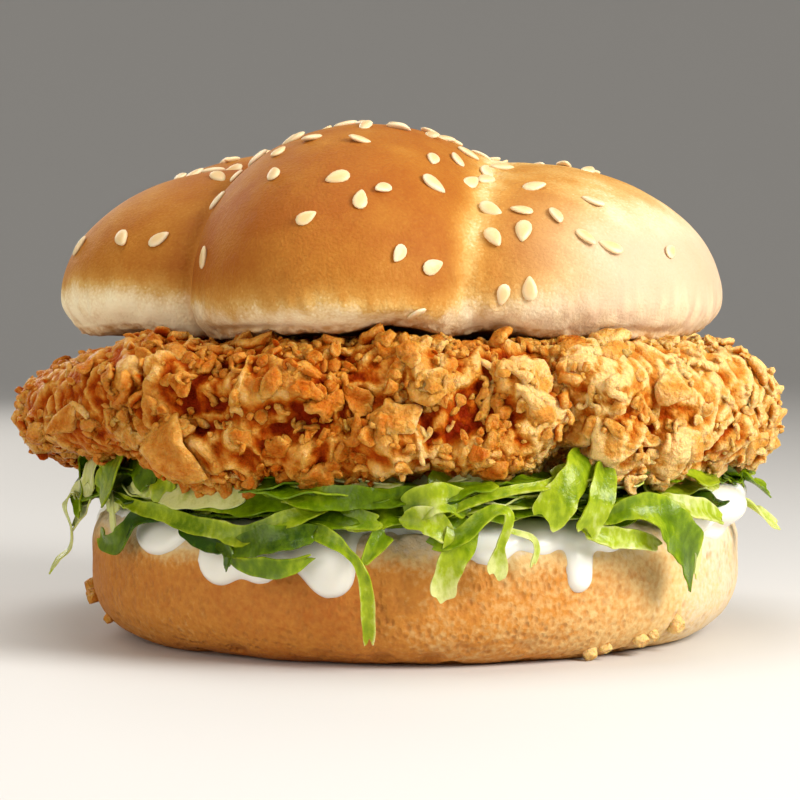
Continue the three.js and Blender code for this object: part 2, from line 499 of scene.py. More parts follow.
def fitPlan(points, low, high):
    # scale and shift that make points fill a box seen from above
    size = points[:, :2].max(0) - points[:, :2].min(0)
    scale = (high[:2] - low[:2]) / size
    return scale, low[:2] - points[:, :2].min(0) * scale


fitBearing, fitDescent = ballGrid(90, 180)
crownScale, crownShift = fitPlan(
    crownSkin(fitBearing, fitDescent * math.pi)[0], crownLow, crownHigh
)


def crownSurface(bearing, polar):
    # the skin in its place, with a wavy lower edge, upright stretch wrinkles above it, a torn
    # strip at the cut with a split over it, and a slightly uneven skin
    points, gap, torn = crownSkin(bearing, polar)
    out = points / np.maximum(np.linalg.norm(points, axis=-1, keepdims=True), 1e-6)
    points[:, :2] = points[:, :2] * crownScale + crownShift
    height = points[:, 2].copy()
    low = easeBetween(-height, 0, crown["equator"])
    front = np.degrees(bearing) - 270
    arch = hill(front, 1, 8) + 0.6 * hill(front, 20, 5) + 0.5 * hill(front, -58, 7)
    wave = 0.45 * np.sin(3 * bearing + 0.4) + 0.35 * np.sin(7 * bearing + 1.9) + 0.5
    lift = low * (crown["archDepth"] * arch + wave)
    points[:, 2] += crown["cutHeight"] + crown["equator"] + lift
    wrinkles = slopeNoise(points * (1, 1, 0.22), 2.4, 3)
    wrinkles += 0.6 * slopeNoise(points * (1, 1, 0.3), 1.3, 4)
    banding = hill(height, -2.0, 4.5)
    atEdge = hill(height, -crown["equator"], 1.2)
    ragged = roughNoise(points, 1.7, 3, 5) * atEdge
    points[:, 2] -= 0.4 * roughNoise(points, 5.0, 3, 9) * atEdge
    stretch = torn * np.exp(-((gap / 4) ** 2)) * slopeNoise(points * (1, 1, 0.35), 1.7, 6)
    soft = 0.35 * slopeNoise(points, 17, 7) + 0.10 * slopeNoise(points, 5, 8)
    split = hill(height, -crown["equator"] + crown["tornStrip"], 0.42)
    split = split * (hill(front, -28, 11) + 0.6 * hill(front, 48, 12))
    away = soft + 0.42 * wrinkles * banding + 1.0 * ragged + 0.45 * stretch - 0.9 * split
    return points + out * away[:, None], gap, torn, height, split


def makeCrown(material):
    # the skin's rows crowd towards its lower edge, and a few more go in under the cut. How baked
    # the skin is rises with height from the pale band, wavers in upright streaks and in broad
    # patches, and falls along the creases; it also falls towards +X, partly a paler bake and partly
    # a painted highlight where the key light falls on that side
    columns, skinRows, cutRows = crown["columns"], crown["skinRows"], crown["cutRows"]
    rows = skinRows + cutRows
    bearing, descent = ballGrid(rows, columns)
    row = descent * rows
    halfWidth = (crownHigh[0] - crownLow[0]) / 2
    edge = math.pi / 2 + math.atan2(crown["equator"] + 1.5, halfWidth - 6)
    onSkin = np.minimum(row / skinRows, 1) ** 0.85
    onCut = np.maximum(row - skinRows, 0) / cutRows
    polar = edge * onSkin + (math.pi - edge) * onCut
    points, gap, torn, height, split = crownSurface(bearing, polar)
    mesh = meshOf("crownBread", points, *ballFaces(rows, columns))
    x, y, z = points.T
    streaks = slopeNoise(points * (1, 1, 0.2), 2.2, 11) * 0.6 + slopeNoise(points, 9, 12)
    paleLift = 2.0 * easeBetween(-x, 24, 36)
    browning = z - paleLift + 1.3 * streaks
    bakeAndLight = easeBetween(browning, crown["cutHeight"] + 2.2, crown["paleTop"])
    bakeAndLight += 0.14 * (1 - bakeAndLight) * easeBetween(-x, -30, 0) * easeBetween(x, -36, -18)
    under = easeBetween(74 - z, 0, 13)
    # painted highlight: paler towards +X, most of all low down, partly for the key light on that side
    bakeAndLight *= 1 - (0.50 + 0.40 * under) * easeBetween(x - 0.3 * np.abs(y + 10), -2, 30)
    setField(mesh, "cream", easeBetween(x, 8, 32) * (1 - bakeAndLight) * under)
    bakeAndLight *= 1 - 0.10 * easeBetween(slopeNoise(points, 24, 13), -0.2, 0.6)
    crease = np.exp(-((gap / (0.8 + 2.4 * torn)) ** 2))
    bakeAndLight *= 1 - crease * (0.12 + 0.50 * torn)
    band = hill(height, -3.0, 3.6)
    bakeAndLight += 0.16 * band * slopeNoise(points * (1, 1, 0.18), 1.7, 3)
    setField(mesh, "bakeAndLight", bakeAndLight)
    # where the painted shade along the creases goes, except where the dough is torn
    setField(mesh, "crease", crease * (1 - torn))
    cutFrom = crown["equator"] - crown["tornStrip"]
    setField(mesh, "cutFace", easeBetween(-height, cutFrom, cutFrom + 0.4))
    # where the painted shade in the split goes
    setField(mesh, "split", split)
    return addPiece("crownBread", mesh, material, ["top_bun"])


def crownPaint():
    # pale dough, gold and brown by how baked it is, paler towards +X with a painted highlight,
    # mottled, with a fine grain in the skin; painted shade darkens the creases and the split
    paint = Paint("crownBread", {
        "Roughness": 0.60,
        "Specular IOR Level": 0.12,
        "Subsurface Weight": 0.05,
        "Subsurface Radius": (1.0, 0.55, 0.30),
        "Subsurface Scale": 0.0025,
    })
    bakeAndLight = paint.field("bakeAndLight")
    mottle = paint.range(paint.noise(6, 4), 0.3, 0.7, -0.09, 0.09)
    patches = paint.range(paint.noise(17, 3), 0.3, 0.7, -0.13, 0.13)
    grain = paint.range(paint.noise(0.45, 3), 0.25, 0.75, -0.08, 0.08)
    dots = paint.range(paint.cells(0.8), 0.10, 0.32, -0.06, 0.02)
    level = paint.total(paint.times(bakeAndLight, 0.86), mottle, patches, grain, dots)
    colour = paint.ramp(level, [
        (0.0, (0.96, 0.84, 0.56)),
        (0.155, (0.82, 0.64, 0.36)),
        (0.345, (0.62, 0.37, 0.11)),
        (0.52, (0.51, 0.235, 0.042)),
        (0.78, (0.405, 0.148, 0.017)),
        (1.0, (0.34, 0.098, 0.010)),
    ])
    cream = paint.mix(paint.range(bakeAndLight, 0.0, 0.10), (0.68, 0.53, 0.34), (0.57, 0.40, 0.265))
    colour = paint.mix(paint.field("cream"), colour, cream)
    # painted shade: a darker brown line along the creases
    colour = paint.mix(paint.times(paint.field("crease"), 0.6), colour, (0.42, 0.16, 0.022))
    crumb = paint.range(paint.noise(1.6, 4), 0.35, 0.65)
    crumb = paint.mix(crumb, (0.84, 0.68, 0.42), (0.56, 0.31, 0.11))
    colour = paint.mix(paint.field("cutFace"), colour, crumb)
    # painted shade in the split over the torn strip
    colour = paint.mix(paint.times(paint.field("split"), 0.7), colour, (0.34, 0.13, 0.03))
    paint.join("Base Color", colour)
    paint.bump(paint.total(paint.noise(0.45, 4), paint.times(paint.noise(2.2, 3), 1.2)), 0.20, 0.8)
    return paint.material


makeCrown(crownPaint())


# heel of the bun: a flat round with rounded corners and a pitted side

heel = {
    "middle": (heelLow[0] + heelHigh[0]) / 2,
    "radius": 51.8,
    "height": heelHigh[2],
    "topCorner": 5.5,
    "footCorner": 9.0,
    "unevenness": 0.9,
    "columns": 680,
    "sideRows": 116,
    "flatRows": 5,
    "pitSize": 1.5,
}
heelTopArc = heel["topCorner"] * math.pi / 2
heelFootArc = heel["footCorner"] * math.pi / 2
heelSide = heel["height"] - heel["topCorner"] - heel["footCorner"]
heelRun = heelTopArc + heelSide + heelFootArc  # from the top's edge to the foot's edge


def heelSurface(bearing, run):
    # the point and outward direction at a bearing from +X and a distance down the section,
    # measured from the edge of the flat top: a quarter circle, an upright side and a larger
    # quarter circle; a negative run goes in over the top, and past the end in under the foot
    top, foot = heel["topCorner"], heel["footCorner"]
    radius, height = heel["radius"], heel["height"]
    upper = np.clip(run, 0, heelTopArc) / top
    side = np.clip(run - heelTopArc, 0, heelSide)
    lower = np.clip(run - heelTopArc - heelSide, 0, heelFootArc) / foot
    inward = np.minimum(run, 0) - np.maximum(run - heelRun, 0)
    out = radius - top + top * np.sin(upper) - foot * (1 - np.cos(lower)) + inward
    z = height - top * (1 - np.cos(upper)) - side - foot * np.sin(lower)
    turn = upper + lower
    bulge = 0.6 * np.sin(2 * bearing + 0.7) + 0.4 * np.sin(5 * bearing + 2)
    out = out + heel["unevenness"] * bulge * out / radius
    point = np.stack([heel["middle"] + out * np.cos(bearing), out * np.sin(bearing), z], -1)
    sine = np.sin(turn)
    facing = np.stack([sine * np.cos(bearing), sine * np.sin(bearing), np.cos(turn)], -1)
    return point, facing


def heelSkin(bearing, run):
    # the surface with its soft unevenness, which fades out on the flat top and foot
    points, facing = heelSurface(bearing, run)
    onSide = easeBetween(run, 0.5, 4) * (1 - easeBetween(run, heelRun - 1.0, heelRun + 0.5))
    soft = 0.40 * slopeNoise(points, 16, 24) + 0.12 * slopeNoise(points, 4, 25)
    return points + facing * (soft * onSide)[:, None], facing, onSide


def makeHeel(material):
    # the skin with pits (dents round scattered points), a few larger dents low down and a ragged
    # rim. It is pale at the rim, brown on the side and foot, and paler towards +X, partly as a paler
    # bake and partly as a painted highlight where the key light falls
    columns, sideRows, flatRows = heel["columns"], heel["sideRows"], heel["flatRows"]
    rows = sideRows + 2 * flatRows
    bearing, descent = ballGrid(rows, columns)
    row = descent * rows
    flat = heel["radius"] - heel["topCorner"]
    footFlat = heel["radius"] - heel["footCorner"]
    run = np.interp(
        row,
        [0, flatRows - 1, flatRows, flatRows + sideRows, flatRows + sideRows + 1, rows],
        [-flat, -2.0, 0, heelRun, heelRun + 1.5, heelRun + footFlat],
    )
    points, facing, onSide = heelSkin(bearing, run)
    rim = hill(run, 3.2, 1.6)
    pits = easeBetween(0.48 - pitNoise(points * (1, 1, 0.8), heel["pitSize"], 21), 0, 0.3)
    sparse = easeBetween(slopeNoise(points, 6, 22), -0.4, 0.4) * easeBetween(run, 4, 9)
    dents = easeBetween(0.34 - pitNoise(points, 6.5, 23), 0, 0.18) * easeBetween(run, 18, 25)
    ragged = roughNoise(points, 2.2, 2, 26) * rim
    away = 0.5 * ragged - (0.22 * pits * sparse + 0.55 * dents) * onSide
    away = away * (1 - easeBetween(run, heelRun - 0.5, heelRun + 0.5))
    points = points + facing * away[:, None]
    points[:, 2] = np.maximum(points[:, 2], 0)
    mesh = meshOf("heelBread", points, *ballFaces(rows, columns))
    x, y = points[:, 0], points[:, 1]
    browning = run + 2.2 * slopeNoise(points * (1, 1, 0.6), 8, 27)
    bakeAndLight = easeBetween(browning, 2.5, 11.0) * 0.70
    bakeAndLight += 0.20 * easeBetween(browning, heelRun - 8, heelRun - 1)
    bakeAndLight *= 1 - 0.10 * hill(run, heelRun - 8, 4)
    bakeAndLight *= 1 - 0.45 * hill(x, 4, 13) * easeBetween(9 - run, 0, 6) * (y < 0)
    bakeAndLight *= 1 - 0.18 * hill(x, 10, 11) + 0.18 * hill(x, -12, 14)
    # painted highlight: paler towards +X, partly for the key light on that side and partly a paler bake
    bakeAndLight *= 1 - 0.45 * easeBetween(x, 8, 40) - 0.4 * easeBetween(x, 36, 50)
    setField(mesh, "bakeAndLight", bakeAndLight)
    # where the painted shade of the pits and dents goes
    setField(mesh, "pitShade", pits * sparse * onSide + dents * onSide)
    return addPiece("heelBread", mesh, material, ["bottom_bun"])


def heelPaint():
    # cream at the rim, gold on the side and brown at the foot, paler towards +X with a painted
    # highlight, with small upright pores; the pores, pits and dents are painted darker as painted shade
    paint = Paint("heelBread", {
        "Roughness": 0.62,
        "Specular IOR Level": 0.20,
        "Subsurface Weight": 0.04,
        "Subsurface Radius": (1.0, 0.55, 0.30),
        "Subsurface Scale": 0.0025,
    })
    pores = paint.range(paint.cells(1.05, (1, 1, 0.72)), 0.10, 0.50, 1.0, 0.0)
    strong = paint.range(paint.noise(5.0, 2), 0.34, 0.60, 0.45, 1.0)
    onCrust = paint.range(paint.field("bakeAndLight"), 0.15, 0.5)
    pores = paint.times(paint.times(pores, strong), onCrust)
    mottle = paint.range(paint.noise(0.9, 4), 0.3, 0.7, -0.13, 0.13)
    patches = paint.range(paint.noise(6, 2), 0.3, 0.7, -0.06, 0.06)
    colour = paint.ramp(paint.total(paint.field("bakeAndLight"), mottle, patches), [
        (0.0, (0.70, 0.57, 0.40)),
        (0.28, (0.70, 0.48, 0.20)),
        (0.60, (0.56, 0.225, 0.034)),
        (1.0, (0.42, 0.115, 0.012)),
    ])
    # painted shade in the pores
    colour = paint.mix(paint.times(pores, 0.7), colour, (0.46, 0.17, 0.03))
    # painted shade in the pits and dents
    colour = paint.mix(paint.times(paint.field("pitShade"), 0.5), colour, (0.42, 0.15, 0.028))
    paint.join("Base Color", colour)
    paint.bump(paint.math("SUBTRACT", paint.times(paint.noise(0.6, 3), 0.8), pores), 0.26, 0.9)
    return paint.material


makeHeel(heelPaint())


# sesame seeds on the crown

seeds = {
    "length": 3.85,
    "width": 2.25,
    "thickness": 0.95,
    "grid": (8, 14),
    "scattered": 760,  # places that are tried
    "spacing": 4.0,
    "height": 0.22,  # of a seed's middle over the bread
    "sizes": (0.86, 1.10),
    "tilt": 0.16,
    "seed": 5,
    # bearing from the front in degrees and angle from straight up, for the ones low on the front
    "front": [
        (1, 82), (-2, 69), (-11, 67), (-15, 76), (-46, 68), (-39, 82), (-26, 65), (-6, 72),
        (9, 66), (7, 84), (22, 71), (26, 77), (20, 78), (36, 65), (28, 72), (34, 74), (37, 79),
        (27, 84), (45, 71), (41, 81), (55, 82), (-75, 81), (-62, 79), (20, 89), (24.5, 88), (4, 93),
    ],
}


def pressedFrame(surface, bearing, polar):
    # points of a surface with its normal and a direction along it, from small steps both ways
    step = 0.01
    here = surface(bearing, polar)[0]
    around = surface(bearing + step, polar)[0] - here
    down = surface(bearing, polar + step)[0] - here
    normal = np.cross(down, around)
    normal /= np.linalg.norm(normal, axis=-1, keepdims=True)
    along = down / np.linalg.norm(down, axis=-1, keepdims=True)
    return here, normal, along


def turnedAxes(normal, along, angle):
    # three axes at right angles: along turned about the normal, the one beside it, the normal
    along = along - normal * np.sum(along * normal, -1, keepdims=True)
    along /= np.linalg.norm(along, axis=-1, keepdims=True)
    beside = np.cross(normal, along)
    first = along * np.cos(angle)[:, None] + beside * np.sin(angle)[:, None]
    return np.stack([first, np.cross(normal, first), normal], 1)


def makeSeeds(material):
    # each seed is a flattened ball drawn out to a blunt point: its width is that of the ball
    # times 1 - 0.35 a - 0.12 a^2, with a from -1 to 1 along it. More lie near the creases and in
    # some patches, and few low down
    random = np.random.default_rng(seeds["seed"])
    count = seeds["scattered"]
    bearing = random.uniform(0, fullTurn, count)
    polar = np.arccos(random.uniform(0.12, 0.99, count))
    lowBearing, lowPolar = np.radians(np.array(seeds["front"], float)).T
    bearing = np.concatenate([bearing, lowBearing + 1.5 * math.pi])
    polar = np.concatenate([polar, lowPolar])
    gap = crownSkin(bearing, polar)[1]
    heap = slopeNoise(np.stack([bearing * 3, polar * 3, polar * 0], -1), 1.0, 31)
    wanted = 0.50 + 0.4 * np.exp(-((gap / 3) ** 2)) + 0.3 * heap
    lowness = polar + 0.2 * easeBetween(-np.sin(bearing), 0, 0.4)
    wanted *= 1 - 0.94 * easeBetween(lowness, 1.10, 1.36)
    kept = random.uniform(0, 1, len(bearing)) < wanted
    kept[count:] = True
    place, normal, along = pressedFrame(crownSurface, bearing[kept], polar[kept])
    apart = np.linalg.norm(place[:, None] - place[None], axis=-1)
    clear = ~np.any(np.triu(apart < seeds["spacing"], 1), axis=1)
    place, normal, along = place[clear], normal[clear], along[clear]
    total = len(place)
    normal = normal + random.normal(0, seeds["tilt"], (total, 3))
    normal /= np.linalg.norm(normal, axis=-1, keepdims=True)
    axes = turnedAxes(normal, along, random.uniform(0, fullTurn, total))
    size = random.uniform(*seeds["sizes"], (total, 1))
    around, descent = ballGrid(*seeds["grid"])
    out, rise = np.sin(math.pi * descent), np.cos(math.pi * descent)
    lengthwise = out * np.cos(around)
    taper = 1 - 0.35 * lengthwise - 0.12 * lengthwise**2
    x = lengthwise * seeds["length"] / 2
    y = out * np.sin(around) * seeds["width"] / 2 * taper
    z = rise * seeds["thickness"] / 2
    local = np.stack([x, y, z], -1)[None] * size[:, :, None]
    points = place[:, None] + normal[:, None] * seeds["height"] + local @ axes
    mesh = meshOf("sesameSeeds", *ballShapes(points, *seeds["grid"]))
    setField(mesh, "middle", np.tile(easeBetween(out, 0.95, 0.45), total))
    setField(mesh, "tone", np.repeat(random.uniform(0, 1, total), len(around)))
    return addPiece("sesameSeeds", mesh, material)


def seedPaint():
    # cream with a deeper yellow middle, each seed a little lighter or darker
    paint = Paint("sesameSeed", {
        "Roughness": 0.42,
        "Subsurface Weight": 0.15,
        "Subsurface Scale": 0.001,
    })
    colour = paint.mix(paint.field("tone"), (0.78, 0.60, 0.33), (0.83, 0.70, 0.46))
    colour = paint.mix(paint.times(paint.field("middle"), 0.75), colour, (0.71, 0.47, 0.19))
    paint.join("Base Color", colour)
    paint.bump(paint.noise(0.6, 2), 0.05)
    return paint.material


makeSeeds(seedPaint())


# chicken fillet: a long lumpy pillow under flakes, curls and grains of crust

fillet = {
    "floor": 27.6,
    "ceiling": 45.6,
    "rimSwell": 2.4,  # how much higher it stands just outside the crown
    "leftDrop": 7.0,
    "rightDrop": 4.0,
    "cornerPower": 2.4,
    "skew": 0.03,
    "inset": 3.4,  # how far the meat lies inside the crust's outline
    # the underside's height along the front, where it hangs past the bun
    "edgeAt": (-63, -42, -35, -27, -22, -13, -6, 5, 19, 24, 28.5, 31.5, 36, 41, 49, 56, 63),
    "edgeHeight": (
        30, 29.6, 28, 25, 24.4, 25.4, 26.2, 27.4, 28.4, 29.8, 32, 25, 26, 24.6, 25, 25.8, 29,
    ),
    "cleftDepth": 6.0,
    "sideFrom": 0.16,  # where the side begins and ends, as a share of the way from pole to pole
    "sideRows": 98,
    "flatRows": 7,
    "columns": 860,
    "sectionHalf": (56, 9.4),  # half the section's width and height, to space its rows evenly
}
crust = {
    "seed": 12,
    "lumpSize": 4.6,
    "smallLumpSize": 2.1,
    "grainSize": 1.15,
    # name: how many, then from least to greatest the half size and, as shares of it, thickness
    # and cupping, then lean, lift and grid
    "flakes": {
        "crustFlaps": (190, (1.7, 3.2), (0.42, 0.66), (-0.50, 0.16), 0.30, 0.6, (9, 14)),
        "crustFlakes": (1000, (0.8, 1.9), (0.60, 1.05), (-0.50, 0.20), 0.45, 0.45, (6, 9)),
        "crustGrains": (1500, (0.35, 0.80), (1.1, 1.7), (-0.2, 0.0), 0.6, 0.35, (5, 7)),
    },
    "flakeTone": 0.08,
    "placedGrid": (16, 26),
    # x, height, half length, half width, turn from level in degrees, lean out of its lower end
    "placedFlaps": [
        (-32.6, 33.2, 5.2, 4.4, 130, 0.25), (-36.4, 35.2, 3.0, 1.6, 160, 0.2),
        (-24.8, 27.0, 3.0, 1.3, 85, 0.1), (-20.8, 26.8, 2.8, 1.3, 80, 0.1),
        (-9.8, 38.8, 3.0, 2.0, 20, 0.3), (-12.5, 41.0, 2.4, 1.5, 150, 0.3),
        (26.6, 35.2, 3.8, 2.6, 20, 0.35), (35.2, 27.0, 2.0, 1.8, 0, 0.1),
        (2.4, 46.6, 2.2, 1.8, 60, 0.2), (0.5, 37.2, 3.4, 2.6, 15, 0.25),
    ],
    "curls": 520,
    "curlGrid": (11, 6),
    "curlLength": (2.2, 5.6),
    "curlTurn": (0.8, 4.0),  # in radians from end to end
    "curlThickness": (0.36, 0.66),
    "curlLean": 0.28,
    "curlLift": 0.25,
    "curlTone": 0.10,
    "placedCurlGrid": (22, 9),
    # x, height, radius, how far round in radians, half thickness, way it bulges in degrees
    "placedCurls": [
        (13.6, 39.4, 5.0, 2.0, 0.85, 175), (20.6, 38.6, 5.4, 2.0, 0.9, 15),
        (17.2, 43.8, 3.0, 2.2, 0.9, 85), (5.6, 40.2, 3.6, 2.6, 0.85, 270),
        (5.0, 43.0, 3.2, 2.0, 0.7, 90), (31.5, 41.0, 2.6, 2.4, 0.75, 200),
        (-5.5, 34.0, 3.2, 2.6, 0.8, 300),
    ],
}


def filletSurface(bearing, descent):
    # a pillow: the section is a superellipse (sine to the 0.35 out, cosine to the 0.42 up and to
    # the 0.55 down) and the outline a squarish oval; its underside follows the front edge's
    # heights, its top falls to both tips, and a cleft runs down the front
    sine = np.sin(math.pi * np.clip(descent, 1e-9, 1 - 1e-9))
    cosine = np.cos(math.pi * descent)
    out = np.where((descent <= 0) | (descent >= 1), 0, sine**0.35)
    rise = np.sign(cosine) * np.abs(cosine) ** np.where(cosine > 0, 0.42, 0.55)
    power = fillet["cornerPower"]
    outline = (np.abs(np.cos(bearing)) ** power + np.abs(np.sin(bearing)) ** power) ** (-1 / power)
    outline = outline + fillet["skew"] * np.sin(3 * bearing + 0.6)
    halfLength = (filletHigh[0] - filletLow[0]) / 2 - fillet["inset"]
    halfWidth = (filletHigh[1] - filletLow[1]) / 2 - fillet["inset"]
    x = halfLength * out * outline * np.cos(bearing)
    y = halfWidth * out * outline * np.sin(bearing)
    top = fillet["ceiling"] + fillet["rimSwell"] * easeBetween(out, 0.74, 0.90)
    top = top - fillet["leftDrop"] * easeBetween(-x, 34, 61)
    top = top - fillet["rightDrop"] * easeBetween(x, 40, 62)
    edge = np.interp(x, fillet["edgeAt"], fillet["edgeHeight"])
    backEdge = 27.6 - 1.3 * np.sin(x / 9 + 1) - 1.5 * easeBetween(x, 20, 45)
    edge = np.where(y < 0, edge, backEdge)
    bottom = fillet["floor"] + (edge - fillet["floor"]) * easeBetween(out, 0.72, 0.93)
    z = (top + bottom) / 2 + ((top - bottom) / 2 - fillet["inset"] * 0.4) * rise
    cleft = hill(x, 25 - (z - 37) * 0.22, 2.3) * easeBetween(-y, 20, 40)
    cleft += 0.45 * hill(x, -37 + (z - 37) * 0.3, 2.6) * easeBetween(-y, 10, 30)
    y = y + fillet["cleftDepth"] * cleft * out**4
    points = np.stack([x, y, z], -1)
    lump = 1.8 * slopeNoise(points, 14, 41) + 1.2 * slopeNoise(points, 8, 42)
    away = np.stack([np.cos(bearing), np.sin(bearing), 0.5 * rise], -1)
    return points + away * (lump * out**3)[:, None], out


def evenDescent(share):
    # descent for a share of the way down the pillow's rounded side, by length along its section
    descent = np.linspace(fillet["sideFrom"], 1 - fillet["sideFrom"], 400)
    halfWidth, halfHeight = fillet["sectionHalf"]
    sine, cosine = np.sin(math.pi * descent), np.cos(math.pi * descent)
    out = halfWidth * sine**0.35
    rise = halfHeight * np.sign(cosine) * np.abs(cosine) ** 0.5
    length = np.concatenate([[0], np.cumsum(np.hypot(np.diff(out), np.diff(rise)))])
    return np.interp(share, length / length[-1], descent)


def noiseSteps(points, size, seed):
    # a step in a random direction for each point: three noises, one along each axis
    return np.stack([slopeNoise(points, size, seed + axis) for axis in range(3)], -1)


def calmShare(points):
    # 1 at the -X tip, 0.7 at the other one, where the crust is of rounder lumps, and 0 between
    return easeBetween(-points[..., 0], 30, 44) + 0.7 * easeBetween(points[..., 0], 30, 42)


def crustRelief(points):
    # how far the crust stands off the pillow: round lumps in three sizes (one minus the square of
    # the distance to the nearest of scattered points, in a space bent by noise), crests where a
    # noise crosses zero, and hollows where another one is high
    bent = points + 1.6 * noiseSteps(points, 6.0, 61) + 0.5 * noiseSteps(points, 2.4, 64)
    lumps = 1 - np.minimum(pitNoise(bent, crust["lumpSize"], 43), 1) ** 2
    smallLumps = 1 - np.minimum(pitNoise(bent, crust["smallLumpSize"], 44), 1) ** 2
    crests = 1 - np.minimum(np.abs(slopeNoise(bent, 5.5, 45)) * 3.5, 1)
    hollows = easeBetween(slopeNoise(points, 8.5, 46), 0.12, 0.55)
    grains = 1 - np.minimum(pitNoise(points, crust["grainSize"], 47), 1) ** 2
    calm = calmShare(points)
    fine = 0.9 * smallLumps * (1 - 0.6 * calm) + 1.1 * crests * (1 - 0.5 * calm) + 0.4 * grains
    return (1.3 + 0.6 * calm) * lumps + fine - 2.2 * hollows * (1 - 0.7 * calm)


def crustPatchesAndLight(points):
    # how dark the crust is fried, by two noises, with painted light laid over them: paler towards
    # +X as a painted highlight where the key light falls, darker left of the middle as painted shade,
    # and a little paler again at the -X tip
    x = points[:, 0]
    patchAndLight = easeBetween(slopeNoise(points, 8, 53) + 0.5 * slopeNoise(points, 3, 54), -0.7, 0.7)
    # painted highlight towards +X and painted shade left of the middle
    patchAndLight = patchAndLight - 1.1 * easeBetween(x, 14, 44) + 0.5 * easeBetween(-x, -5, 16)
    return patchAndLight - 0.3 * easeBetween(-x, 32, 46)


def makeFillet(material):
    # the pillow with its relief, on a grid that is fine on the side and coarse above and below.
    # A point's hollowness comes from how far it lies below the mean of its surroundings; painted
    # shade makes the crust darker there and where the relief is low
    columns, sideRows, flatRows = fillet["columns"], fillet["sideRows"], fillet["flatRows"]
    rows = sideRows + 2 * flatRows
    bearing, descent = ballGrid(rows, columns)
    row = descent * rows
    sideFrom = fillet["sideFrom"]
    descent = evenDescent((row - flatRows) / sideRows)
    descent = np.where(row < flatRows, sideFrom * row / flatRows, descent)
    descent = np.where(rows - row < flatRows, 1 - sideFrom * (rows - row) / flatRows, descent)
    points, out = filletSurface(bearing, descent)
    mesh = meshOf("filletCrust", points, *ballFaces(rows, columns))
    smooth = normalsOf(mesh)
    onSide = easeBetween(out, 0.70, 0.82)
    relief = crustRelief(points) * onSide
    fine = 0.20 * slopeNoise(points, 1.5, 51) + 0.10 * slopeNoise(points, 0.8, 52)
    points = points + smooth * (relief + fine * onSide)[:, None]
    setPoints(mesh, points)
    normals, edges = normalsOf(mesh), edgesOf(mesh)
    hollowShade = np.sum((relaxed(points, edges, 7) - points) * normals, -1)
    # painted shade: darker in hollows and where the relief is low
    setField(mesh, "hollowShade", easeBetween(hollowShade, -0.42, 0.26))
    setField(mesh, "depthShade", 0.25 + 0.75 * easeBetween(1.9 - relief, 0.0, 2.6))
    setField(mesh, "patchAndLight", crustPatchesAndLight(points))
    addPiece("filletCrust", mesh, material, ["chicken_fillet"])
    facing = smooth + 0.5 * normals
    facing /= np.linalg.norm(facing, axis=-1, keepdims=True)
    onGrid = (row >= flatRows) & (rows - row >= flatRows)
    return points[onGrid], facing[onGrid]


def crustPlaces(random, ground, count, lean, lift):
    # random points of the crust's side, fewer at the tips, lifted off it, with axes that lean
    likely = 1 - 0.7 * calmShare(ground[0])
    chosen = random.choice(len(likely), count, p=likely / likely.sum())
    place, normal = ground[0][chosen], ground[1][chosen]
    leaning = normal + random.normal(0, lean, (count, 3))
    leaning /= np.linalg.norm(leaning, axis=-1, keepdims=True)
    axes = turnedAxes(leaning, np.roll(leaning, 1, -1), random.uniform(0, fullTurn, count))
    raised = lift * random.uniform(0.0, 1.2, (count, 1))
    return place + normal * raised, axes, raised[:, 0]


def chosenPlaces(ground, x, height, turn, lean):
    # the points of the front that are nearest to the given x and height, with axes turned from
    # level and leaning out
    points, normals = ground
    apart = (points[None, :, 0] - x[:, None]) ** 2 + (points[None, :, 2] - height[:, None]) ** 2
    apart = apart + 0.6 * np.maximum(points[:, 1] + 25, 0) + 0.02 * points[:, 1]
    nearest = np.argmin(apart, axis=1)
    leaning = normals[nearest] * (1, 1, 0.4) + np.array([[0, 0, 1.0]]) * lean[:, None]
    leaning /= np.linalg.norm(leaning, axis=-1, keepdims=True)
    level = np.cross(np.array([[0, 0, 1.0]]), leaning)
    return points[nearest] + normals[nearest] * 0.5, turnedAxes(leaning, level, np.radians(turn))


def flakeShapes(random, place, axes, size, slim, thickness, cup, grid):
    # flakes: flattened balls with a wavy outline (waves of 2, 3 and 5 round the edge) and a
    # thicker rim, bent into a dome or cup by the square of the distance from the middle, folded
    # by the cosine of twice the bearing, and crumpled by noise, the large ones more coarsely too
    count = len(place)
    bearing, descent = ballGrid(*grid)
    out, rise = np.sin(math.pi * descent), np.cos(math.pi * descent)
    phase = random.uniform(0, fullTurn, (5, count, 1))
    outline = 1 + 0.15 * np.sin(2 * bearing + phase[0]) + 0.14 * np.sin(3 * bearing + phase[1])
    outline = outline + 0.09 * np.sin(5 * bearing + phase[2])
    x = size * out * outline * np.cos(bearing)
    y = size * slim * out * outline * np.sin(bearing)
    reach = (out * outline) ** 2
    bend = random.uniform(*cup, (count, 1)) * size
    fold = random.normal(0, 0.16, (count, 1)) * size
    ripple = random.uniform(0.02, 0.10, (count, 1)) * size * np.sin(4 * bearing + phase[3])
    thick = np.minimum(random.uniform(*thickness, (count, 1)) * size, 1.7)
    z = rise * thick / 2 * (1 + 0.8 * hill(out, 0.80, 0.2))
    z = z + reach * (bend + fold * np.cos(2 * bearing + phase[4]) + ripple)
    points = place[:, None] + np.stack([x, y, z], -1) @ axes
    fine = 0.20 * noiseSteps(points, 1.7, 55) + 0.08 * noiseSteps(points, 0.8, 58)
    coarse = 0.12 * np.maximum(size - 2, 0)[..., None] * noiseSteps(points, 3.0, 77)
    return ballShapes(points + np.minimum(size, 1.4)[..., None] * fine + coarse, *grid)


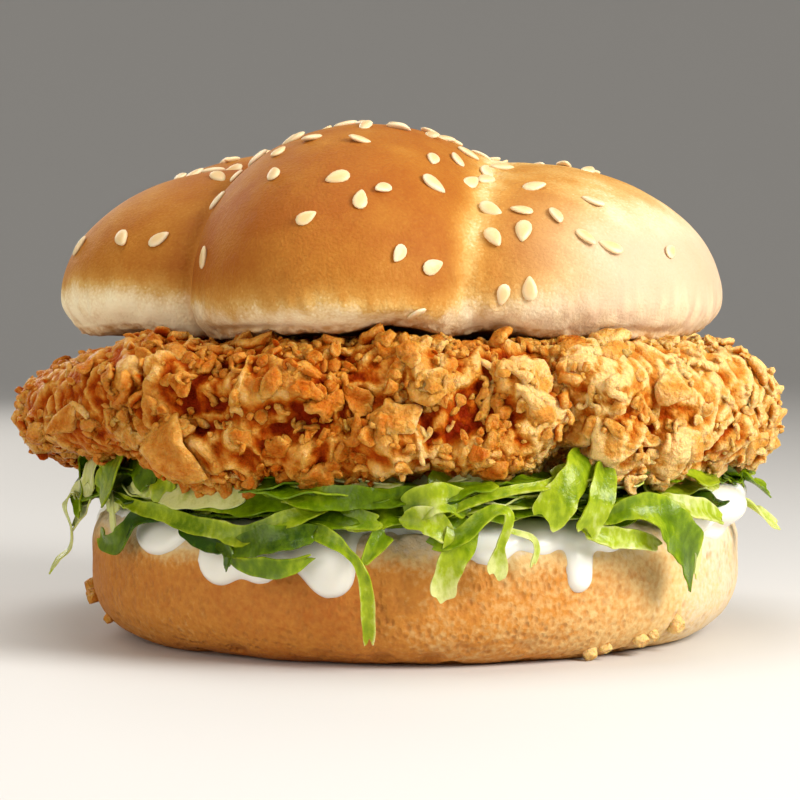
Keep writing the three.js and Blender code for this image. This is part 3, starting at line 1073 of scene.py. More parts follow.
def addFlakes(name, shapes, grid, tone, raised, material):
    # a piece of flakes, pale at the rim, with painted shade on the side that faces the fillet and on
    # the flakes that lie lower
    mesh = meshOf(name, *shapes)
    descent = ballGrid(*grid)[1]
    count = len(tone)
    rim = np.tile(np.sin(math.pi * descent) ** 3, count)
    under = np.tile(easeBetween(descent, 0.50, 0.66), count)
    # painted shade on each flake's underside, with its own tone on top
    setField(mesh, "hollowShade", 0.40 - 0.34 * rim + 0.50 * under + np.repeat(tone, len(descent)))
    # painted shade that is lighter on the flakes that stand higher
    setField(mesh, "depthShade", np.repeat(0.42 - 0.16 * raised, len(descent)))
    setField(mesh, "patchAndLight", crustPatchesAndLight(pointsOf(mesh)))
    addPiece(name, mesh, material)


def makeFlakes(ground, material):
    # the flaps, flakes and grains that are scattered over the side
    for index, (name, kind) in enumerate(crust["flakes"].items()):
        count, sizes, thickness, cup, lean, lift, grid = kind
        random = np.random.default_rng(crust["seed"] + index)
        place, axes, raised = crustPlaces(random, ground, count, lean, lift)
        size = random.uniform(*sizes, (count, 1))
        slim = random.uniform(0.5, 1.0, (count, 1))
        tone = random.normal(0, crust["flakeTone"], count)
        shapes = flakeShapes(random, place, axes, size, slim, thickness, cup, grid)
        addFlakes(name, shapes, grid, tone, raised, material)


def makePlacedFlaps(ground, material):
    # the large flaps that stand in given places on the front
    random = np.random.default_rng(crust["seed"] + 8)
    x, height, length, width, turn, lean = np.array(crust["placedFlaps"], float).T
    place, axes = chosenPlaces(ground, x, height, turn, lean)
    thickness, cup = crust["flakes"]["crustFlaps"][2:4]
    grid = crust["placedGrid"]
    slim = (width / length)[:, None]
    shapes = flakeShapes(random, place, axes, length[:, None], slim, thickness, cup, grid)
    addFlakes("crustLargeFlaps", shapes, grid, 0 * x, 0 * x + 1, material)


def addCurls(name, random, place, axes, length, turn, thick, grid, material):
    # curls: rods that lie along the crust. The heading along each one is a steady turn plus two
    # waves, its middle line the sum of short steps that way, and its thickness swells and shrinks
    # by a wave and is rounded off at the ends
    total = len(place)
    rows, columns = grid
    length, turn, thick = length[:, None], turn[:, None], thick[:, None]
    share = np.linspace(0, 1, rows + 1)
    phase = random.uniform(0, fullTurn, (3, total, 1))
    heading = turn * (share - 0.5) + 0.45 * np.sin(fullTurn * share + phase[0])
    heading = heading + 0.22 * np.sin(2 * fullTurn * share + phase[1])
    steps = np.stack([np.cos(heading), np.sin(heading)], -1) * length[..., None] / rows
    line = np.cumsum(steps, 1)
    line = line - line[:, rows // 2, None]
    across = np.stack([-np.sin(heading), np.cos(heading)], -1)
    ends = (1 - np.abs(2 * share - 1) ** 5) ** 0.5
    swell = thick * (1 + 0.30 * np.sin(7 * share + phase[2])) * ends
    around, along = ballGrid(rows, columns)
    row = np.rint(along * rows).astype(int)
    sideways = swell[:, row] * np.cos(around)
    flat = line[:, row] + across[:, row] * sideways[..., None]
    arch = 0.5 * np.sin(math.pi * share[row] + phase[2])
    raised = swell[:, row] * np.sin(around) * 1.1 + arch
    points = place[:, None] + np.concatenate([flat, raised[..., None]], -1) @ axes
    points = points + 0.34 * noiseSteps(points, 1.6, 71) + 0.13 * noiseSteps(points, 0.8, 74)
    mesh = meshOf(name, *ballShapes(points, *grid))
    lower = easeBetween(-np.sin(around), -0.2, 0.9)
    tone = random.normal(0, crust["curlTone"], (total, 1))
    # painted shade on each curl's lower side, with its own tone on top
    setField(mesh, "hollowShade", (0.18 + 0.5 * lower + tone).ravel())
    setField(mesh, "depthShade", np.full(total * len(around), 0.28))
    setField(mesh, "patchAndLight", crustPatchesAndLight(pointsOf(mesh)))
    addPiece(name, mesh, material)


def makeCurls(ground, material):
    # scattered curls, and the large ones that stand in given places on the front
    random = np.random.default_rng(crust["seed"] + 9)
    count = crust["curls"]
    place, axes, _ = crustPlaces(random, ground, count, crust["curlLean"], crust["curlLift"])
    length = random.uniform(*crust["curlLength"], count)
    turn = random.uniform(*crust["curlTurn"], count)
    thick = random.uniform(*crust["curlThickness"], count)
    addCurls("crustCurls", random, place, axes, length, turn, thick, crust["curlGrid"], material)
    x, height, radius, turn, thick, way = np.array(crust["placedCurls"], float).T
    place, axes = chosenPlaces(ground, x, height, way + 90, 0 * x)
    grid = crust["placedCurlGrid"]
    addCurls("crustLargeCurls", random, place, axes, radius * turn, turn, thick, grid, material)


def crustPaint():
    # gold on rims, orange on the flat and red-brown as painted shade in hollows and undersides, in
    # uneven patches that carry a painted highlight towards +X and painted shade left of the middle; a
    # little oily, most of all where it is pale
    paint = Paint("friedCrust", {
        "Subsurface Weight": 0.34,
        "Subsurface Radius": (1.0, 0.42, 0.10),
        "Subsurface Scale": 0.0018,
    })
    # painted shade from the hollows, undersides and low relief
    hollowShade = paint.times(paint.field("hollowShade"), 0.58)
    depthShade = paint.times(paint.field("depthShade"), 0.42)
    fleck = paint.range(paint.noise(1.2, 5), 0.3, 0.7, -0.10, 0.10)
    # fried patches, with the painted highlight towards +X and painted shade left of the middle
    patchAndLight = paint.math("MULTIPLY_ADD", paint.field("patchAndLight"), 0.18, -0.09)
    level = paint.total(hollowShade, depthShade, fleck, patchAndLight)
    colour = paint.ramp(level, [
        (0.00, (0.86, 0.56, 0.21)),
        (0.22, (0.65, 0.300, 0.040)),
        (0.44, (0.51, 0.150, 0.008)),
        (0.64, (0.39, 0.060, 0.002)),
        (0.90, (0.22, 0.015, 0.001)),
    ])
    paint.join("Base Color", colour)
    paint.join("Roughness", paint.range(paint.noise(1.6, 3), 0.3, 0.7, 0.26, 0.48))
    paint.join("Specular IOR Level", paint.range(level, 0.20, 0.60, 0.26, 0.02))
    grit = paint.range(paint.cells(1.2), 0.05, 0.60, 0.6, 0.0)
    paint.bump(paint.total(paint.noise(0.5, 4), paint.times(paint.noise(1.3, 3), 1.5), grit), 0.65, 0.9)
    return paint.material


fryPaint = crustPaint()
crustGround = makeFillet(fryPaint)
makeFlakes(crustGround, fryPaint)
makePlacedFlaps(crustGround, fryPaint)
makeCurls(crustGround, fryPaint)


# crumbs that have stuck low on the heel

crumbs = {
    "seed": 4,
    # bearing from the front in degrees, height, half size
    "places": [
        (-83, 7.0, 1.9), (-79, 6.2, 1.4), (-86, 5.4, 1.1), (-72, 3.4, 0.8),
        (33, 1.5, 1.1), (36, 2.2, 0.9), (44, 2.8, 1.4), (47, 3.2, 1.0), (52, 4.4, 1.5),
        (128, 3.4, 1.2), (205, 4.0, 1.5), (262, 3.0, 1.0),
    ],
    "thickness": (1.2, 1.6),
    "cupping": (-0.2, 0),
    "grid": (12, 18),
}


def makeCrumbs(material):
    # small thick flakes against the rounded foot, whose angle follows from the height
    bearing, height, size = np.array(crumbs["places"], float).T
    random = np.random.default_rng(crumbs["seed"])
    lower = np.arcsin(1 - height / heel["footCorner"])
    run = heelTopArc + heelSide + heel["footCorner"] * lower
    place, normal, _ = heelSkin(np.radians(bearing - 90), run)
    axes = turnedAxes(normal, np.roll(normal, 1, -1), random.uniform(0, fullTurn, len(size)))
    slim = random.uniform(0.6, 0.9, (len(size), 1))
    place = place + normal * 0.35 * size[:, None]
    size, grid = size[:, None], crumbs["grid"]
    thickness, cupping = crumbs["thickness"], crumbs["cupping"]
    points, quads, triangles = flakeShapes(random, place, axes, size, slim, thickness, cupping, grid)
    points[:, 2] = np.maximum(points[:, 2], 0)  # none reaches below the table
    tone = np.where(np.abs(bearing - 40) < 20, -0.3, 0.0)
    addFlakes("crumbs", (points, quads, triangles), grid, tone, 0 * tone + 0.5, material)


makeCrumbs(fryPaint)


# mayonnaise: poured over the heel, running down from its rim in rounded drips

sauce = {
    "edgeRun": 2.4,  # how far down from the top's edge it reaches between the drips
    "innerRun": -14.0,  # where its sheet begins on the flat top
    "outerRun": 15.5,  # and ends, below the longest drip
    "thickness": 1.2,
    "sunk": 0.30,  # how far its thin edge lies in the bread
    "backing": 1.3,  # and its back
    "neck": 2.4,
    # bearing from the front in degrees, how far down it runs, half its width
    "drips": [
        (-48.5, 8.4, 7.2), (-34, 12.0, 4.0), (-26.5, 11.4, 4.0), (-14, 13.0, 3.8),
        (-17.5, 9.8, 3.4), (12, 8.2, 4.6), (21, 7.0, 4.2), (28, 12.8, 2.3), (34.5, 7.2, 4.4),
        (66, 7.4, 9.0), (118, 7.0, 7.0), (171, 10.6, 5.2), (183, 7.5, 4.0), (214, 8.0, 6.4),
        (262, 9.6, 4.6),
    ],
    # bearing, distance from the heel's middle, height, then half sizes outwards, along, up
    "dollops": [
        (68, 49.2, 21.4, 6.2, 9.4, 3.8), (76, 50.0, 23.0, 4.4, 5.0, 3.0),
        (57, 50.5, 20.2, 3.2, 5.0, 2.6), (160, 48.0, 21.0, 5.0, 7.0, 3.0),
        (-120, 48.5, 21.0, 5.0, 6.0, 2.8),
    ],
    "dollopGrid": (14, 24),
    "columns": 760,
    "rows": 84,
    "voxel": 0.42,
    "triangles": 150000,
}


def sauceThickness(bearing, run):
    # how thick the sauce is: inside each drip (a disc swept straight down from the rim) the
    # distance to its edge is found, the drips and the poured edge are blended, and the edge is
    # rounded as a quarter circle; less than nothing outside
    inside = sauce["edgeRun"] + 0.7 * np.sin(4 * bearing + 1) + 0.5 * np.sin(9 * bearing) - run
    fullness = np.zeros_like(run)
    for at, reach, half in sauce["drips"]:
        turn = (bearing - math.radians(at) - 1.5 * math.pi + math.pi) % fullTurn - math.pi
        sideways = turn * heel["radius"]
        past = np.maximum(run - (reach - half), 0)
        distance = half - np.hypot(sideways, past)
        inside = softMax(inside, distance, sauce["neck"])
        fullness += hill(run, reach - half, half) * hill(sideways, 0, half)
    thick = sauce["thickness"] * (1 + 0.35 * np.minimum(fullness, 1))
    edge = np.clip(inside, 0, thick)
    return np.where(inside > 0, np.sqrt(edge * (2 * thick - edge)), inside), inside


def closedShell(front, back, quads):
    # a sheet's front and back points joined all round: the faces twice, the back ones turned
    # over, and a wall along each edge that only one face has
    count = len(front)
    edges = np.concatenate([quads[:, [k, (k + 1) % 4]] for k in range(4)])
    keys = np.sort(edges, axis=1) @ np.array([count, 1])
    _, firstSeen, times = np.unique(keys, return_index=True, return_counts=True)
    rim = edges[firstSeen[times == 1]]
    wall = np.stack([rim[:, 1], rim[:, 0], rim[:, 0] + count, rim[:, 1] + count], -1)
    faces = np.concatenate([quads, quads[:, ::-1] + count, wall])
    points = np.concatenate([front, back])
    used, renumbered = np.unique(faces, return_inverse=True)
    return points[used], renumbered.reshape(-1, 4), np.zeros((0, 3), int)


def makeMayonnaise(material):
    # a sheet over the heel's skin, as thick as worked out above, and flattened balls for the
    # dollops, fused into one skin and smoothed
    columns, rows = sauce["columns"], sauce["rows"]
    bearing = np.tile(np.arange(columns) / columns * fullTurn, rows)
    run = np.repeat(np.linspace(sauce["innerRun"], sauce["outerRun"], rows), columns)
    points, facing, _ = heelSkin(bearing, run)
    thick, inside = sauceThickness(bearing, run)
    front = points + facing * (np.maximum(thick, -0.6) - sauce["sunk"])[:, None]
    back = points - facing * sauce["backing"]
    here = np.arange((rows - 1) * columns)
    beside = here // columns * columns + (here + 1) % columns
    quads = np.stack([here, here + columns, beside + columns, beside], -1)
    quads = quads[(inside[quads] > -0.3).any(axis=1)]
    shapes = [closedShell(front, back, quads)]
    around, descent = ballGrid(*sauce["dollopGrid"])
    out = np.sin(math.pi * descent)
    ball = np.stack([out * np.cos(around), out * np.sin(around), np.cos(math.pi * descent)], -1)
    at, distance, height, outwards, along, up = np.array(sauce["dollops"], float).T
    angle = np.radians(at) - math.pi / 2
    outward = np.stack([np.cos(angle), np.sin(angle), 0 * angle], -1)
    sideways = np.stack([-np.sin(angle), np.cos(angle), 0 * angle], -1)
    upward = np.array([[0, 0, 1.0]]) + 0 * outward
    middle = outward * distance[:, None] + upward * height[:, None]
    middle[:, 0] += heel["middle"]
    halfSizes = np.stack([outwards, along, up], -1)[..., None]
    axes = np.stack([outward, sideways, upward], 1) * halfSizes
    shapes.append(ballShapes(middle[:, None] + ball @ axes, *sauce["dollopGrid"]))
    mesh = fused("pouredMayonnaise", together(shapes), sauce["voxel"], sauce["triangles"])
    setPoints(mesh, relaxed(pointsOf(mesh), edgesOf(mesh), 3))
    return addPiece("pouredMayonnaise", mesh, material, ["mayonnaise"])


def mayonnaisePaint():
    # thick white, wet, and a little see-through where it is thin
    paint = Paint("mayonnaise", {
        "Roughness": 0.24,
        "Subsurface Weight": 0.55,
        "Subsurface Radius": (1.0, 0.85, 0.65),
        "Subsurface Scale": 0.0025,
    })
    cloud = paint.range(paint.noise(9, 2), 0.35, 0.65)
    paint.join("Base Color", paint.mix(cloud, (0.84, 0.82, 0.73), (0.88, 0.86, 0.79)))
    paint.bump(paint.noise(3.5, 2), 0.10, 0.6)
    return paint.material


makeMayonnaise(mayonnaisePaint())


# shredded lettuce: strips cut from leaves, over a smaller core that is deep green as painted shade

lettuce = {
    "coreSize": 0.86,  # as a share of the CAD heap
    "coreHeight": (3.3, 2.4),  # its middle over the heel, and half its height
    "coreGrid": (30, 160),
    "thickness": 0.26,
    "clearance": 0.9,  # clear space between a strip's middle and the heel
    "frontGrid": (40, 9),
    "scattered": 260,
    "scatteredGrid": (18, 4),
    "seed": 3,
    # the strips that show most. Each has the points that it passes (bearing from the front in
    # degrees, distance from the heel's middle, height), its widths, the angle at which its face
    # is tipped up from facing outwards, how green it is from pale rib 0 to deep leaf 1, and its
    # cupping and ruffle. Values with several numbers change evenly along the strip
    "frontStrips": [
        ([(-66, 52, 31), (-65, 54.8, 28.6), (-65, 55.4, 24.8)],
         (5, 6.6, 5), (10,), (0.05, 0.15), 0.1, 0.3),
        ([(-60, 51.5, 31.4), (-57, 54.6, 29.2), (-58, 55.4, 26.2), (-61, 55.2, 24.2)],
         (6, 8.4, 5), (10,), (0.5, 0.32), 0.1, 0.4),
        ([(-90, 51, 27), (-82, 53.5, 26), (-76, 54.5, 23.5), (-72, 55, 20)],
         (4, 5, 3), (15,), (0.6, 0.4), 0.3, 0.3),
        ([(-54, 52, 28), (-47, 53.6, 26.8), (-38, 54.2, 26), (-28, 53.6, 25.6)],
         (4, 6.4, 5.4), (22,), (0.12, 0.0), 0.15, 0.4),
        ([(-26, 52, 26.6), (-17, 53.8, 25.6), (-8, 54, 25.4), (0, 52.4, 26)],
         (3, 4, 3.4, 3), (25,), (0.2, 0.55, 0.75), 0.15, 0.4),
        ([(-66, 51, 29.5), (-62, 53, 27.8), (-60, 54, 25.3), (-62, 54.5, 23.4)],
         (4.5, 6.5, 5), (15,), (0.7, 0.5), 0.2, 0.4),
        ([(-53, 51.8, 30.6), (-49.5, 54.2, 28.8), (-46, 54.6, 26.6)],
         (4.6, 5.6, 4.6), (15,), (0.75, 0.6), 0.1, 0.4),
        ([(-47, 51.8, 29), (-44, 54, 27.2), (-42, 54.8, 24.6)],
         (4.2, 5.2, 4.4), (15,), (0.1, 0.3), 0.2, 0.4),
        ([(-61, 51.5, 28.6), (-55, 53, 28.2), (-50, 52.5, 27.6)], (2, 3, 2.4), (35,), (0.85,), 0.2, 0.3),
        ([(-62, 53.5, 23.8), (-52, 54.3, 22.9), (-46, 54.5, 22.3), (-39, 55, 21.3), (-32, 55.2, 20.4),
          (-27.8, 55, 19.6), (-22, 54.8, 21.4), (-17, 54, 23.2), (-13.5, 52, 24.3)],
         (1.6, 2.6, 3.2, 2.2), (30, 10, 40), (0.35,), 0.2, 0.2),
        ([(-56, 52, 26), (-49, 53, 25.4), (-43, 53, 24.2)], (3, 3.4, 2), (20,), (0.1,), 0.2, 0.4),
        ([(-47, 52, 25.6), (-37, 53.3, 24.9), (-28, 53.8, 24.6), (-20.8, 53.3, 25), (-13.5, 52, 24.4)],
         (3.6, 5, 3), (30,), (0.4, 0.72), 0.15, 0.4),
        ([(-44, 52.5, 22.3), (-50, 54, 21.2), (-52, 55, 19.1), (-54, 55.5, 17), (-58, 55.5, 16.6),
          (-61, 55, 17.8)], (3, 3.4, 2.6), (5,), (0.95, 0.45), 0.3, 0.2),
        ([(-59, 54, 24), (-56.5, 55, 21.1), (-55.5, 55.3, 18.5)], (1.3,), (0,), (0.0,), 0.3, 0.1),
        ([(-68, 54, 24.2), (-76, 54.9, 23.2), (-76, 56.8, 21.1), (-76, 55.8, 17.2), (-76, 56, 14.3),
          (-76, 57.9, 12.4), (-76, 59.1, 10.6)],
         (3.6, 3.0, 2.5, 2.3, 3.2), (0, 15, 0), (0.0, 0.12), 0.1, 0.1),
        ([(-70, 53.8, 23), (-74, 53.9, 20.8), (-76, 55.6, 17.4)], (3.0, 2.6), (10,), (0.1,), 0.1, 0.1),
        ([(-40, 53.5, 20.2), (-35, 54.5, 19), (-30.5, 54.8, 18)], (3, 3.6), (10,), (0.85,), 0.3, 0.3),
        ([(-31, 54.8, 17.4), (-25, 56, 18.7), (-20, 56, 19.6), (-15.5, 54.5, 20.6)],
         (2.6, 4.4, 3), (20,), (0.6, 0.75), 0.15, 0.3),
        ([(-30, 55, 16.6), (-25.5, 56, 15.4), (-20, 56, 15.4), (-16, 55.2, 17)],
         (1.6, 3.4, 1.4), (-20,), (0.45,), 0.2, 0.2),
        ([(-31.5, 54.6, 18.6), (-29.3, 55.6, 17), (-29.3, 56, 15)], (2.4, 1.2), (5,), (0.7,), 0.4, 0.2),
        ([(-17, 52.5, 23), (-11, 54, 22.5), (-5.5, 54.5, 22.1)],
         (3, 3.8, 2.8), (30,), (0.8, 0.35), 0.2, 0.2),
        ([(-16, 54, 20.8), (-12.6, 55.4, 19.6), (-10.3, 55.6, 17.9), (-8.4, 55.7, 15.8),
          (-7.5, 55, 12.6), (-7.4, 54.2, 8.3), (-7.3, 53.6, 4.6)],
         (3, 1.4, 1.8, 2.2), (10, 0), (0.5, 0.2), 0.2, 0.1),
        ([(-5, 53.8, 20.6), (-6.4, 55, 18.3), (-8, 55.4, 16)], (3.6, 1), (0,), (0.5, 0.3), 0.5, 0.1),
        ([(-1.5, 53.5, 23.4), (1.5, 54.6, 25.4), (4.5, 54.6, 25.6), (8, 53.4, 24.0)],
         (4.4, 4.8, 4.4), (18,), (0.5, 0.2, 0.45), 0.25, 0.2),
        ([(-2.2, 54, 22.4), (1.7, 55, 22.4), (5.2, 54.6, 20)], (2.6, 3.8, 2.6), (10,), (0.25,), 0.3, 0.4),
        ([(3, 54, 22.5), (8.8, 54.8, 25.2), (15, 54.8, 26.6), (20, 54.2, 27.2), (24.2, 52.8, 27.8)],
         (1.4, 1.8), (40,), (0.3,), 0.2, 0.1),
        ([(4, 52, 27), (10.5, 53.3, 26.6), (16.5, 52.8, 26)], (2, 2.8), (50,), (0.6,), 0.2, 0.2),
        ([(2, 54.5, 19.2), (5.1, 55.2, 19.4), (7.6, 55.8, 20.8), (9.8, 56, 22.9), (11.7, 56.2, 24),
          (13.3, 56.6, 23.6), (13.4, 56.8, 22), (12.5, 56, 19), (12.3, 55.2, 16.8), (12.2, 55, 14.2)],
         (2.8, 3, 2, 1.6, 1.2, 3.8), (25, 60, 0), (0.55, 0.1), 0.15, 0.2),
        ([(7.2, 53, 22.4), (6.6, 55, 19.7), (5.3, 55.4, 16.9), (4.5, 54.8, 14), (4, 54, 11)],
         (4.6, 4.4, 3.6), (0,), (0.55, 0.3, 0.0), 0.15, 0.3),
        ([(13.8, 55, 21), (17.3, 55.2, 19.9), (18.4, 55, 18.2), (17.8, 54.8, 15.8)],
         (0.9,), (20,), (0.15,), 0.1, 0.1),
        ([(28.5, 52.5, 31), (25.5, 54.5, 28.6), (22.5, 55.3, 25.8), (19.8, 55, 22.0)],
         (5.0, 5.4, 5.2), (10,), (0.45, 0.2), -0.12, 0.3),
        ([(31.2, 53.6, 29.6), (28.8, 55.8, 25.9), (27.6, 56, 22.8), (26.6, 55.2, 20.2)],
         (3.6, 4.4, 4.2), (5,), (0.4, 0.2), 0.15, 0.3),
        ([(30, 54, 21.5), (33.8, 55.8, 23.4), (38.7, 57, 22.6), (42, 57.4, 19.8), (45, 57, 15.8),
          (46.8, 56, 10.6)], (2, 3.4, 7, 7, 1.2), (20, 5), (0.35, 0.6), 0.2, 0.5),
        ([(43, 56, 20), (47.5, 56.6, 17), (48.4, 56, 12.5)], (1.6, 2.4, 1), (0,), (0.05,), 0.3, 0.2),
        ([(26.5, 54.5, 20.2), (29.8, 55, 19.6), (33.6, 55.2, 19), (40, 55.8, 17.6)],
         (2.4, 3.2, 2.6), (10,), (0.2,), 0.2, 0.4),
        ([(45, 52.5, 24), (50.3, 54.8, 22.3), (57, 55.4, 20.6)], (3, 3.4), (25,), (0.15,), 0.3, 0.3),
        ([(70, 51.5, 26), (76, 52.6, 25.4), (76, 55.3, 24.4), (77, 57.4, 22.6)],
         (3, 5.2, 4.2), (30,), (0.5,), 0.3, 0.3),
        ([(72, 51.5, 22.5), (76, 52.6, 21.8), (76, 55.8, 19.9), (77, 59, 17.4)],
         (3, 4.8, 2.6), (20,), (0.1,), 0.3, 0.3),
    ],
}


def alongList(values, share):
    # evenly spaced values read off at each share of the way, with straight lines between
    return np.interp(share, np.linspace(0, 1, len(values)), values)


def smoothPath(places, steps):
    # a curve through points given as bearing from the front, distance and height: each stretch
    # is the cubic that leaves a point in the direction between its two neighbours
    bearing, distance, height = np.array(places, float).T
    angle = np.radians(bearing) - math.pi / 2
    knots = np.stack([heel["middle"] + distance * np.cos(angle), distance * np.sin(angle), height], -1)
    ends = np.concatenate([[2 * knots[0] - knots[1]], knots, [2 * knots[-1] - knots[-2]]])
    share = np.linspace(0, len(knots) - 1 - 1e-6, steps)
    piece = share.astype(int)
    t = (share - piece)[:, None]
    before, here, onward, after = (ends[piece + k] for k in range(4))
    curve = 2 * here + (onward - before) * t + (2 * before - 5 * here + 4 * onward - after) * t**2
    return (curve + (3 * here - before - 3 * onward + after) * t**3) / 2


def offHeel(points, clearance):
    # points closer to the heel than the clearance are moved straight out of it: up from its flat
    # top, away from the top corner's circle, or outwards from its side
    x, y, z = points[..., 0] - heel["middle"], points[..., 1], points[..., 2]
    distance = np.hypot(x, y)
    corner = heel["topCorner"]
    beyond = np.maximum(distance - (heel["radius"] - corner), 0)
    above = np.maximum(z - (heel["height"] - corner), 0)
    far = np.maximum(np.hypot(beyond, above), 1e-6)
    push = np.maximum(corner + clearance - far, 0) * (z > 0)
    outward = push * beyond / far
    points = points.copy()
    points[..., 0] += outward * x / np.maximum(distance, 1e-6)
    points[..., 1] += outward * y / np.maximum(distance, 1e-6)
    points[..., 2] += push * above / far
    return points


def stripPoints(path, widths, tips, cup, ruffle, phase, across):
    # a strip's grid of points: the path plus a sideways step of the half width times v, from -1
    # to 1, plus a lift off its face that is the cup times |v|^1.3 and, towards the edges, a wave
    # along the strip. Both edges and both ends are cut unevenly
    steps = path.shape[1]
    along = np.gradient(path, axis=1)
    along /= np.maximum(np.linalg.norm(along, axis=-1, keepdims=True), 1e-9)
    outward = path * (1, 1, 0) - (heel["middle"], 0, 0)
    outward /= np.linalg.norm(outward, axis=-1, keepdims=True)
    tip = np.radians(tips)[..., None]
    face = outward * np.cos(tip) + np.array([0, 0, 1.0]) * np.sin(tip)
    face = face - along * np.sum(face * along, -1, keepdims=True)
    face /= np.maximum(np.linalg.norm(face, axis=-1, keepdims=True), 1e-6)
    beside = np.cross(along, face)
    share = np.linspace(0, 1, steps)
    v = np.linspace(-1, 1, across)
    lengths = np.sum(np.linalg.norm(np.diff(path, axis=1), axis=-1), 1)
    run = share * lengths[:, None]
    cut = 1 + 0.12 * np.sin(0.5 * run + phase) + 0.04 * np.sin(1.7 * run + 2 * phase)
    other = 1 + 0.12 * np.sin(0.6 * run + 3 * phase) + 0.04 * np.sin(1.9 * run + phase)
    half = widths / 2 * (1 - 0.35 * np.abs(2 * share - 1) ** 12)
    sideways = v * half[..., None] * np.where(v < 0, cut[..., None], other[..., None])
    wave = np.sin(0.55 * run + 5 * phase)[..., None] * np.abs(v) ** 1.5
    wave = wave + 0.4 * np.sin(1.2 * run + phase)[..., None] * v**3
    lift = cup[:, None, None] * np.abs(v) ** 1.3 * half[..., None]
    lift = lift + ruffle[:, None, None] * wave * np.sign(v + 0.01)
    points = path[:, :, None] + beside[:, :, None] * sideways[..., None]
    points = points + face[:, :, None] * lift[..., None]
    jag = np.sin(v * 2.6 + 7 * phase) * 0.55 + np.sin(v * 6 + 3 * phase) * 0.15
    endShare = (share[None] - 0.5)[..., None] * 2
    return points + along[:, :, None] * (jag[:, None] * endShare**15)[..., None]


def scatteredStrips(random, count, steps):
    # strips that wander over the heel at random: the heading is a straight line plus a sine, and
    # what of the way lies past the rim turns over it and hangs down instead
    bearing = random.uniform(0, fullTurn, (count, 1))
    start = random.uniform(42, 51, (count, 1))
    length = random.uniform(14, 30, (count, 1))
    share = np.linspace(0, 1, steps)[None]
    aside = random.choice([-1, 1], (count, 1)) * random.uniform(1.15, 1.9, (count, 1))
    wobble = random.normal(0, 0.35, (count, 1))
    wobble = wobble * np.sin(math.pi * share * random.uniform(0.7, 1.8, (count, 1)))
    heading = bearing + aside + wobble
    step = length / steps
    x = start * np.cos(bearing) + np.cumsum(np.cos(heading), 1) * step
    y = start * np.sin(bearing) + np.cumsum(np.sin(heading), 1) * step
    distance = np.hypot(x, y)
    rim = random.uniform(50.0, 53.0, (count, 1))
    front = easeBetween(-np.sin(bearing), -0.35, 0.1)
    hang = random.uniform(0, 1, (count, 1)) * (9 - 7.5 * front)
    past = np.clip(distance - rim, 0, hang)
    turn = random.uniform(1.2, 3.2, (count, 1))
    out = turn * (1 - np.exp(-past / turn))
    kept = (np.minimum(distance, rim) + out) / distance
    height = random.uniform(22.0, 28.2, (count, 1)) + 0.7 * np.sin(share * 5 + bearing * 9)
    height = height - 0.75 * (past - out)
    path = np.stack([x * kept + heel["middle"], y * kept, height], -1)
    widths = random.uniform(2.0, 6.0, (count, 1)) * (1 + 0.25 * np.sin(share * 4 + bearing * 5))
    tips = 75 - 65 * easeBetween(past, 0, 4) + random.normal(0, 28, (count, 1))
    tone = random.uniform(0.0, 0.80, (count, 1))
    tone = tone + random.normal(0, 0.3, (count, 1)) * (share - 0.5)
    return path, widths, tips, np.clip(tone, 0, 1)


def stripShapes(points):
    # the faces of a batch of strips
    count, steps, across = points.shape[:3]
    faces = repeated(sheetFaces(steps, across), steps * across, count)
    return points.reshape(-1, 3), faces, np.zeros((0, 3), int)


def acrossShare(points):
    # for each point of a batch of strips, 0 on its strip's middle line and 1 at its edges
    count, steps, across = points.shape[:3]
    return np.tile(np.abs(np.linspace(-1, 1, across)), count * steps)


def makeLettuceShadeCore(material):
    # a flat round heap: a superellipse turned about the middle, with lumps, deep green throughout as
    # painted shade in the gaps between the strips
    low, high = nodeBox("lettuce")
    bearing, descent = ballGrid(*lettuce["coreGrid"])
    sine = np.where((descent <= 0) | (descent >= 1), 0, np.sin(math.pi * descent))
    cosine = np.cos(math.pi * descent)
    out = sine**0.4 * lettuce["coreSize"]
    rise = np.sign(cosine) * np.abs(cosine) ** 0.7
    half = (high - low) / 2
    middle = (high + low) / 2
    x = middle[0] + half[0] * out * np.cos(bearing)
    y = middle[1] + half[1] * out * np.sin(bearing)
    rest, halfHeight = lettuce["coreHeight"]
    z = heel["height"] + rest + halfHeight * rise
    points = np.stack([x, y, z], -1)
    points[:, 2] += 0.5 * slopeNoise(points, 5, 61) * out
    mesh = meshOf("lettuceShadeCore", points, *ballFaces(*lettuce["coreGrid"]))
    # painted shade: the deepest green of the ramp all over
    setField(mesh, "green", np.full(len(points), 0.95))
    setField(mesh, "across", np.zeros(len(points)))
    return addPiece("lettuceShadeCore", mesh, material)


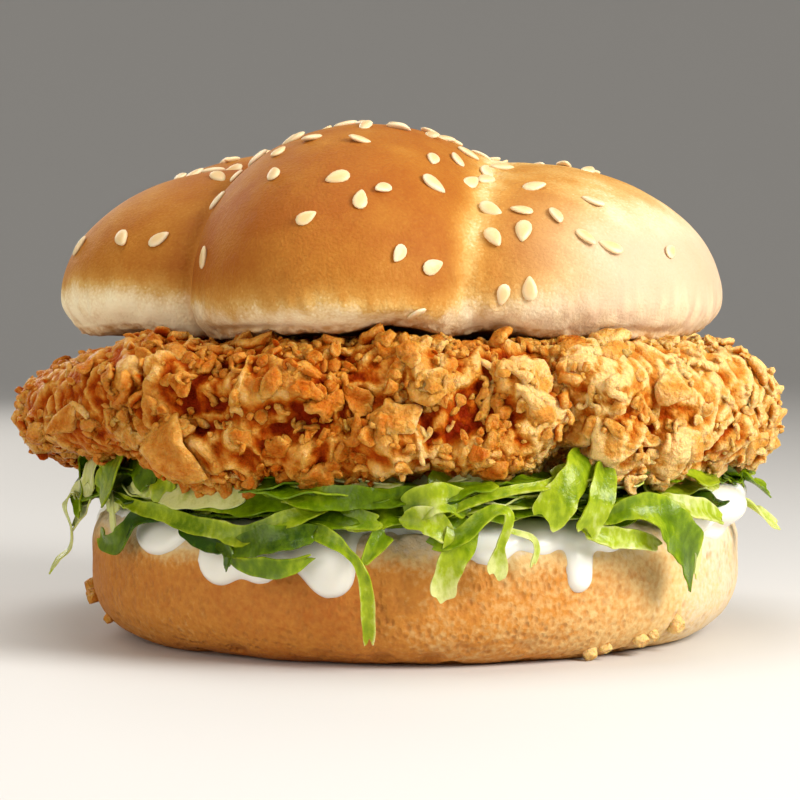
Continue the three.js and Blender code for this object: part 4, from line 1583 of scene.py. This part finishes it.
def makeLettuce(material):
    # both batches of strips as open sheets, kept clear of the heel and given a thickness
    random = np.random.default_rng(lettuce["seed"])
    strips = lettuce["frontStrips"]
    steps, across = lettuce["frontGrid"]
    share = np.linspace(0, 1, steps)
    path = np.array([smoothPath(strip[0], steps) for strip in strips])
    widths, tips, frontTone = (
        np.array([alongList(strip[k], share) for strip in strips]) for k in (1, 2, 3)
    )
    cup, ruffle = np.array([strip[4:6] for strip in strips]).T
    phase = random.uniform(0, fullTurn, (len(path), 1))
    front = stripPoints(path, widths, tips, cup, ruffle, phase, across)
    count = lettuce["scattered"]
    steps, across = lettuce["scatteredGrid"]
    path, widths, tips, restTone = scatteredStrips(random, count, steps)
    cup = random.normal(0, 0.35, count)
    ruffle = random.uniform(0.1, 0.6, count)
    phase = random.uniform(0, fullTurn, (count, 1))
    rest = stripPoints(path, widths, tips, cup, ruffle, phase, across)
    shapes = [stripShapes(offHeel(batch, lettuce["clearance"])) for batch in (front, rest)]
    mesh = meshOf("lettuceStrips", *together(shapes))
    tones = [np.repeat(frontTone, front.shape[2]), np.repeat(restTone, rest.shape[2])]
    setField(mesh, "green", np.concatenate(tones))
    setField(mesh, "across", np.concatenate([acrossShare(front), acrossShare(rest)]))
    thickness = lettuce["thickness"] * millimetre
    mesh = withModifiers(mesh, ("SOLIDIFY", {"thickness": thickness, "offset": 0}))
    mesh.name = "lettuceStrips"
    mesh.shade_smooth()
    mesh.set_sharp_from_angle(angle=math.radians(50))
    return addPiece("lettuceStrips", mesh, material, ["lettuce"])


def lettucePaint():
    # from pale rib to deep green leaf, with lighter cut edges and a fine uneven sheen
    paint = Paint("lettuceLeaf", {
        "Roughness": 0.24,
        "Specular IOR Level": 0.22,
        "Subsurface Weight": 0.30,
        "Subsurface Radius": (0.7, 1.0, 0.10),
        "Subsurface Scale": 0.002,
    })
    blotch = paint.range(paint.noise(4.5, 4), 0.3, 0.7, -0.11, 0.11)
    vein = paint.range(paint.noise(1.1, 3, (1, 1, 0.5)), 0.35, 0.65, -0.08, 0.08)
    edge = paint.range(paint.field("across"), 0.7, 1.0, 0.0, -0.10)
    colour = paint.ramp(paint.total(paint.field("green"), blotch, vein, edge), [
        (0.0, (0.62, 0.68, 0.25)),
        (0.22, (0.32, 0.41, 0.012)),
        (0.46, (0.12, 0.200, 0.001)),
        (0.80, (0.022, 0.052, 0.001)),
    ])
    paint.join("Base Color", colour)
    paint.bump(paint.total(paint.noise(1.4, 3), paint.noise(0.5, 2)), 0.12, 0.7)
    return paint.material


leafPaint = lettucePaint()
makeLettuceShadeCore(leafPaint)
makeLettuce(leafPaint)
